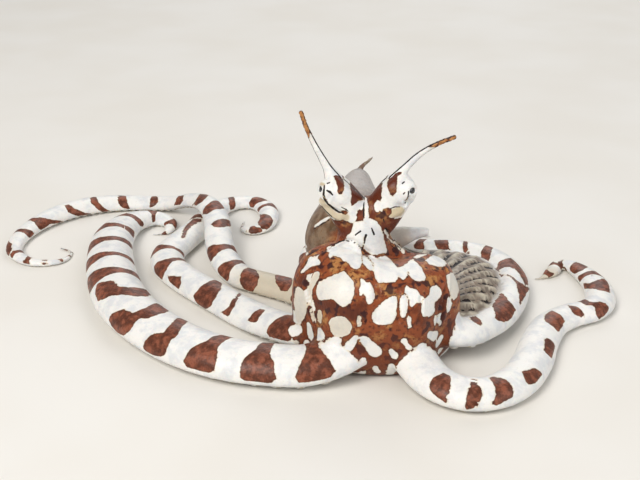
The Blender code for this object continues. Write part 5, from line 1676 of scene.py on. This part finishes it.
class OctopusLooks(bpy.types.PropertyGroup):
    """Sizes and colours of the octopus's dress."""

    voxel: bpy.props.FloatProperty(
        name="Skin fineness", description="The grid on which the flesh is drawn into one skin",
        default=0.0004, min=0.0003, max=0.001, unit="LENGTH", precision=5)
    most_faces: bpy.props.IntProperty(
        name="Skin faces", description="Triangles that the skin is thinned to before its head is refined",
        default=140000, min=20000, max=180000)
    pale: colour_property("Pale", "White skin", (0.84, 0.83, 0.80))
    pale_shade: colour_property("Pale shade", "White skin where it is duller", (0.70, 0.71, 0.72))
    tan: colour_property("Tan", "Beige skin", (0.56, 0.47, 0.32))
    rust: colour_property("Rust", "The body's ground colour", (0.27, 0.066, 0.02))
    ochre: colour_property("Ochre", "Lighter places in the rust", (0.45, 0.205, 0.065))
    deep_rust: colour_property("Deep rust", "Darker places in the rust", (0.115, 0.026, 0.01))
    head_rust: colour_property("Head rust", "The head's patches", (0.11, 0.022, 0.008))
    purple: colour_property("Purple", "Speckles", (0.035, 0.008, 0.009))
    band: colour_property("Band", "The arms' dark bands", (0.105, 0.031, 0.015))
    band_light: colour_property("Band light", "Lighter places in the bands", (0.27, 0.085, 0.045))
    rim: colour_property("Rim", "The line round a dark patch", (0.075, 0.022, 0.012))
    halo: colour_property("Halo", "Yellowish skin beside a dark patch", (0.70, 0.55, 0.30))
    # The mantle's and web's colours, partly their own and partly painted shade
    taupe: colour_property("Taupe", "Brownish skin of the mantle", (0.115, 0.068, 0.032))
    slate: colour_property("Slate", "Greyish skin of the mantle and web", (0.27, 0.20, 0.135))
    lilac: colour_property("Lilac", "The mantle's paler end", (0.43, 0.41, 0.39))
    # The painted highlight on the web's fold ridges
    web: colour_property("Web", "Light ridges of the folded web", (0.66, 0.60, 0.48))
    # The black of the lines, also used for painted shade in the web's creases
    ink_and_crease_shade: colour_property("Ink", "Black lines", (0.014, 0.008, 0.007))
    iris: colour_property("Iris", "Gold of the eye", (0.55, 0.36, 0.12))
    iris_light: colour_property("Light iris", "Cream rays of the eye", (0.80, 0.70, 0.45))
    iris_rim: colour_property("Iris rim", "Edge of the eye", (0.25, 0.15, 0.07))
    pupil: colour_property("Pupil", "Black of the eye", (0.004, 0.004, 0.005))
    floor: colour_property("Floor", "The stage", (0.80, 0.78, 0.74))


def dressed(piece, material, slot, *nodes):
    """Gives a piece its material and its body, and hides the nodes that it stands for. The slot is not used.
    """
    piece.data.materials.clear()
    piece.data.materials.append(material)
    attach(piece, "root")
    if nodes:
        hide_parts(*nodes)


class OCTOPUS_OT_skin(bpy.types.Operator):
    """Makes the one skin over the crown, head, mantle, siphon and arms, with its markings"""

    bl_idname = "octopus.skin"
    bl_label = "Skin"

    def execute(self, context):
        looks = context.scene.octopus_looks
        skin = shaped_skin(looks.voxel, looks.most_faces)
        mark_skin(skin)
        flesh = [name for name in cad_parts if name.startswith("arm_")]
        dressed(skin, skin_paint(looks), "body_skin", "crown", "head", "mantle", "siphon", *sorted(flesh))
        return {"FINISHED"}


class OCTOPUS_OT_horns(bpy.types.Operator):
    """Makes the long papilla over each eye"""

    bl_idname = "octopus.horns"
    bl_label = "Horns"

    def execute(self, context):
        material = skin_paint(context.scene.octopus_looks)
        for side in EYE_BULBS:
            dressed(horn_piece(side), material, "body_skin", "horn_" + side)
        return {"FINISHED"}


class OCTOPUS_OT_eyes(bpy.types.Operator):
    """Makes both eyes"""

    bl_idname = "octopus.eyes"
    bl_label = "Eyes"

    def execute(self, context):
        material = eye_paint(context.scene.octopus_looks)
        for side in EYE_BULBS:
            dressed(eye_piece(side), material, "eye", "eye_" + side)
        return {"FINISHED"}


class OCTOPUS_OT_suckers(bpy.types.Operator):
    """Makes two rows of suckers under each arm"""

    bl_idname = "octopus.suckers"
    bl_label = "Suckers"

    def execute(self, context):
        material = sucker_paint(context.scene.octopus_looks)
        for name in ARMS:
            dressed(suckers_piece(name), material, "arm_skin")
        return {"FINISHED"}


def area_light(name, place, size, power, colour):
    """A soft square light at a place, turned to the animal; sizes in metres, power in watts."""
    light = bpy.data.lights.new(name, "AREA")
    light.shape = "SQUARE"
    light.size = size
    light.energy = power
    light.color = colour
    lamp = bpy.data.objects.new(name, light)
    lamp.location = place
    lamp.rotation_euler = (Vector(LIT_PLACE) - Vector(place)).to_track_quat("-Z", "Y").to_euler()
    bpy.context.scene.collection.objects.link(lamp)


class OCTOPUS_OT_stage(bpy.types.Operator):
    """Makes the pale floor, the soft lights and the camera"""

    bl_idname = "octopus.stage"
    bl_label = "Stage"

    def execute(self, context):
        scene = context.scene
        looks = scene.octopus_looks
        turn, edge = turns(FLOOR_SIDES), np.arange(FLOOR_SIDES)
        ring = np.column_stack([np.cos(turn), np.sin(turn), 0 * turn])
        points = np.vstack([ring * FLOOR_RADIUS, [[0.0, 0.0, 0.0]]])
        faces = np.column_stack([edge, (edge + 1) % FLOOR_SIDES, np.full(FLOOR_SIDES, FLOOR_SIDES)])
        floor = new_object("floor", new_mesh("floor", points, faces))
        paint = Paint("floor")
        tone = paint.speckled(looks.floor, looks.tan, 60.0, 0.3, 0.7, 0.12, 2.0, 0.5)
        floor.data.materials.append(paint.finish(tone, 0.75))
        for name, values in LIGHTS.items():
            area_light(name, *values)
        world = bpy.data.worlds.new("studio")
        world.use_nodes = True
        background = world.node_tree.nodes["Background"]
        background.inputs["Color"].default_value = (0.90, 0.90, 0.90, 1.0)
        background.inputs["Strength"].default_value = 0.3
        scene.world = world
        scene.view_settings.view_transform = "Standard"
        camera = bpy.data.cameras.new("camera")
        camera.sensor_width = SENSOR_WIDTH
        camera.lens = CAMERA_FOCAL * SENSOR_WIDTH / (2 * PICTURE_MIDDLE[0])
        camera.clip_start = 0.01
        holder = bpy.data.objects.new("camera", camera)
        holder.location = CAMERA_PLACE * MM
        holder.rotation_euler = (math.pi / 2 - CAMERA_DOWN, 0.0, 0.0)
        scene.collection.objects.link(holder)
        scene.camera = holder
        return {"FINISHED"}


class OCTOPUS_PT_panel(bpy.types.Panel):
    """Lists the makers and what they use"""

    bl_label = "Octopus"
    bl_idname = "OCTOPUS_PT_panel"
    bl_space_type = "VIEW_3D"
    bl_region_type = "UI"
    bl_category = "Octopus"

    def draw(self, context):
        for maker in MAKERS:
            self.layout.operator(maker.bl_idname)
        for name in OctopusLooks.__annotations__:
            self.layout.prop(context.scene.octopus_looks, name)


MAKERS = (OCTOPUS_OT_stage, OCTOPUS_OT_skin, OCTOPUS_OT_horns, OCTOPUS_OT_eyes, OCTOPUS_OT_suckers)


def register():
    """Makes the properties, the makers and the panel known."""
    for kind in (OctopusLooks, *MAKERS, OCTOPUS_PT_panel):
        bpy.utils.register_class(kind)
    bpy.types.Scene.octopus_looks = bpy.props.PointerProperty(type=OctopusLooks)


def unregister():
    """Takes them away again."""
    del bpy.types.Scene.octopus_looks
    for kind in (OCTOPUS_PT_panel, *reversed(MAKERS), OctopusLooks):
        bpy.utils.unregister_class(kind)


def main():
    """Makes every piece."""
    register()
    bpy.ops.octopus.stage()
    bpy.ops.octopus.skin()
    bpy.ops.octopus.horns()
    bpy.ops.octopus.eyes()
    bpy.ops.octopus.suckers()


if __name__ == "__main__":
    main()
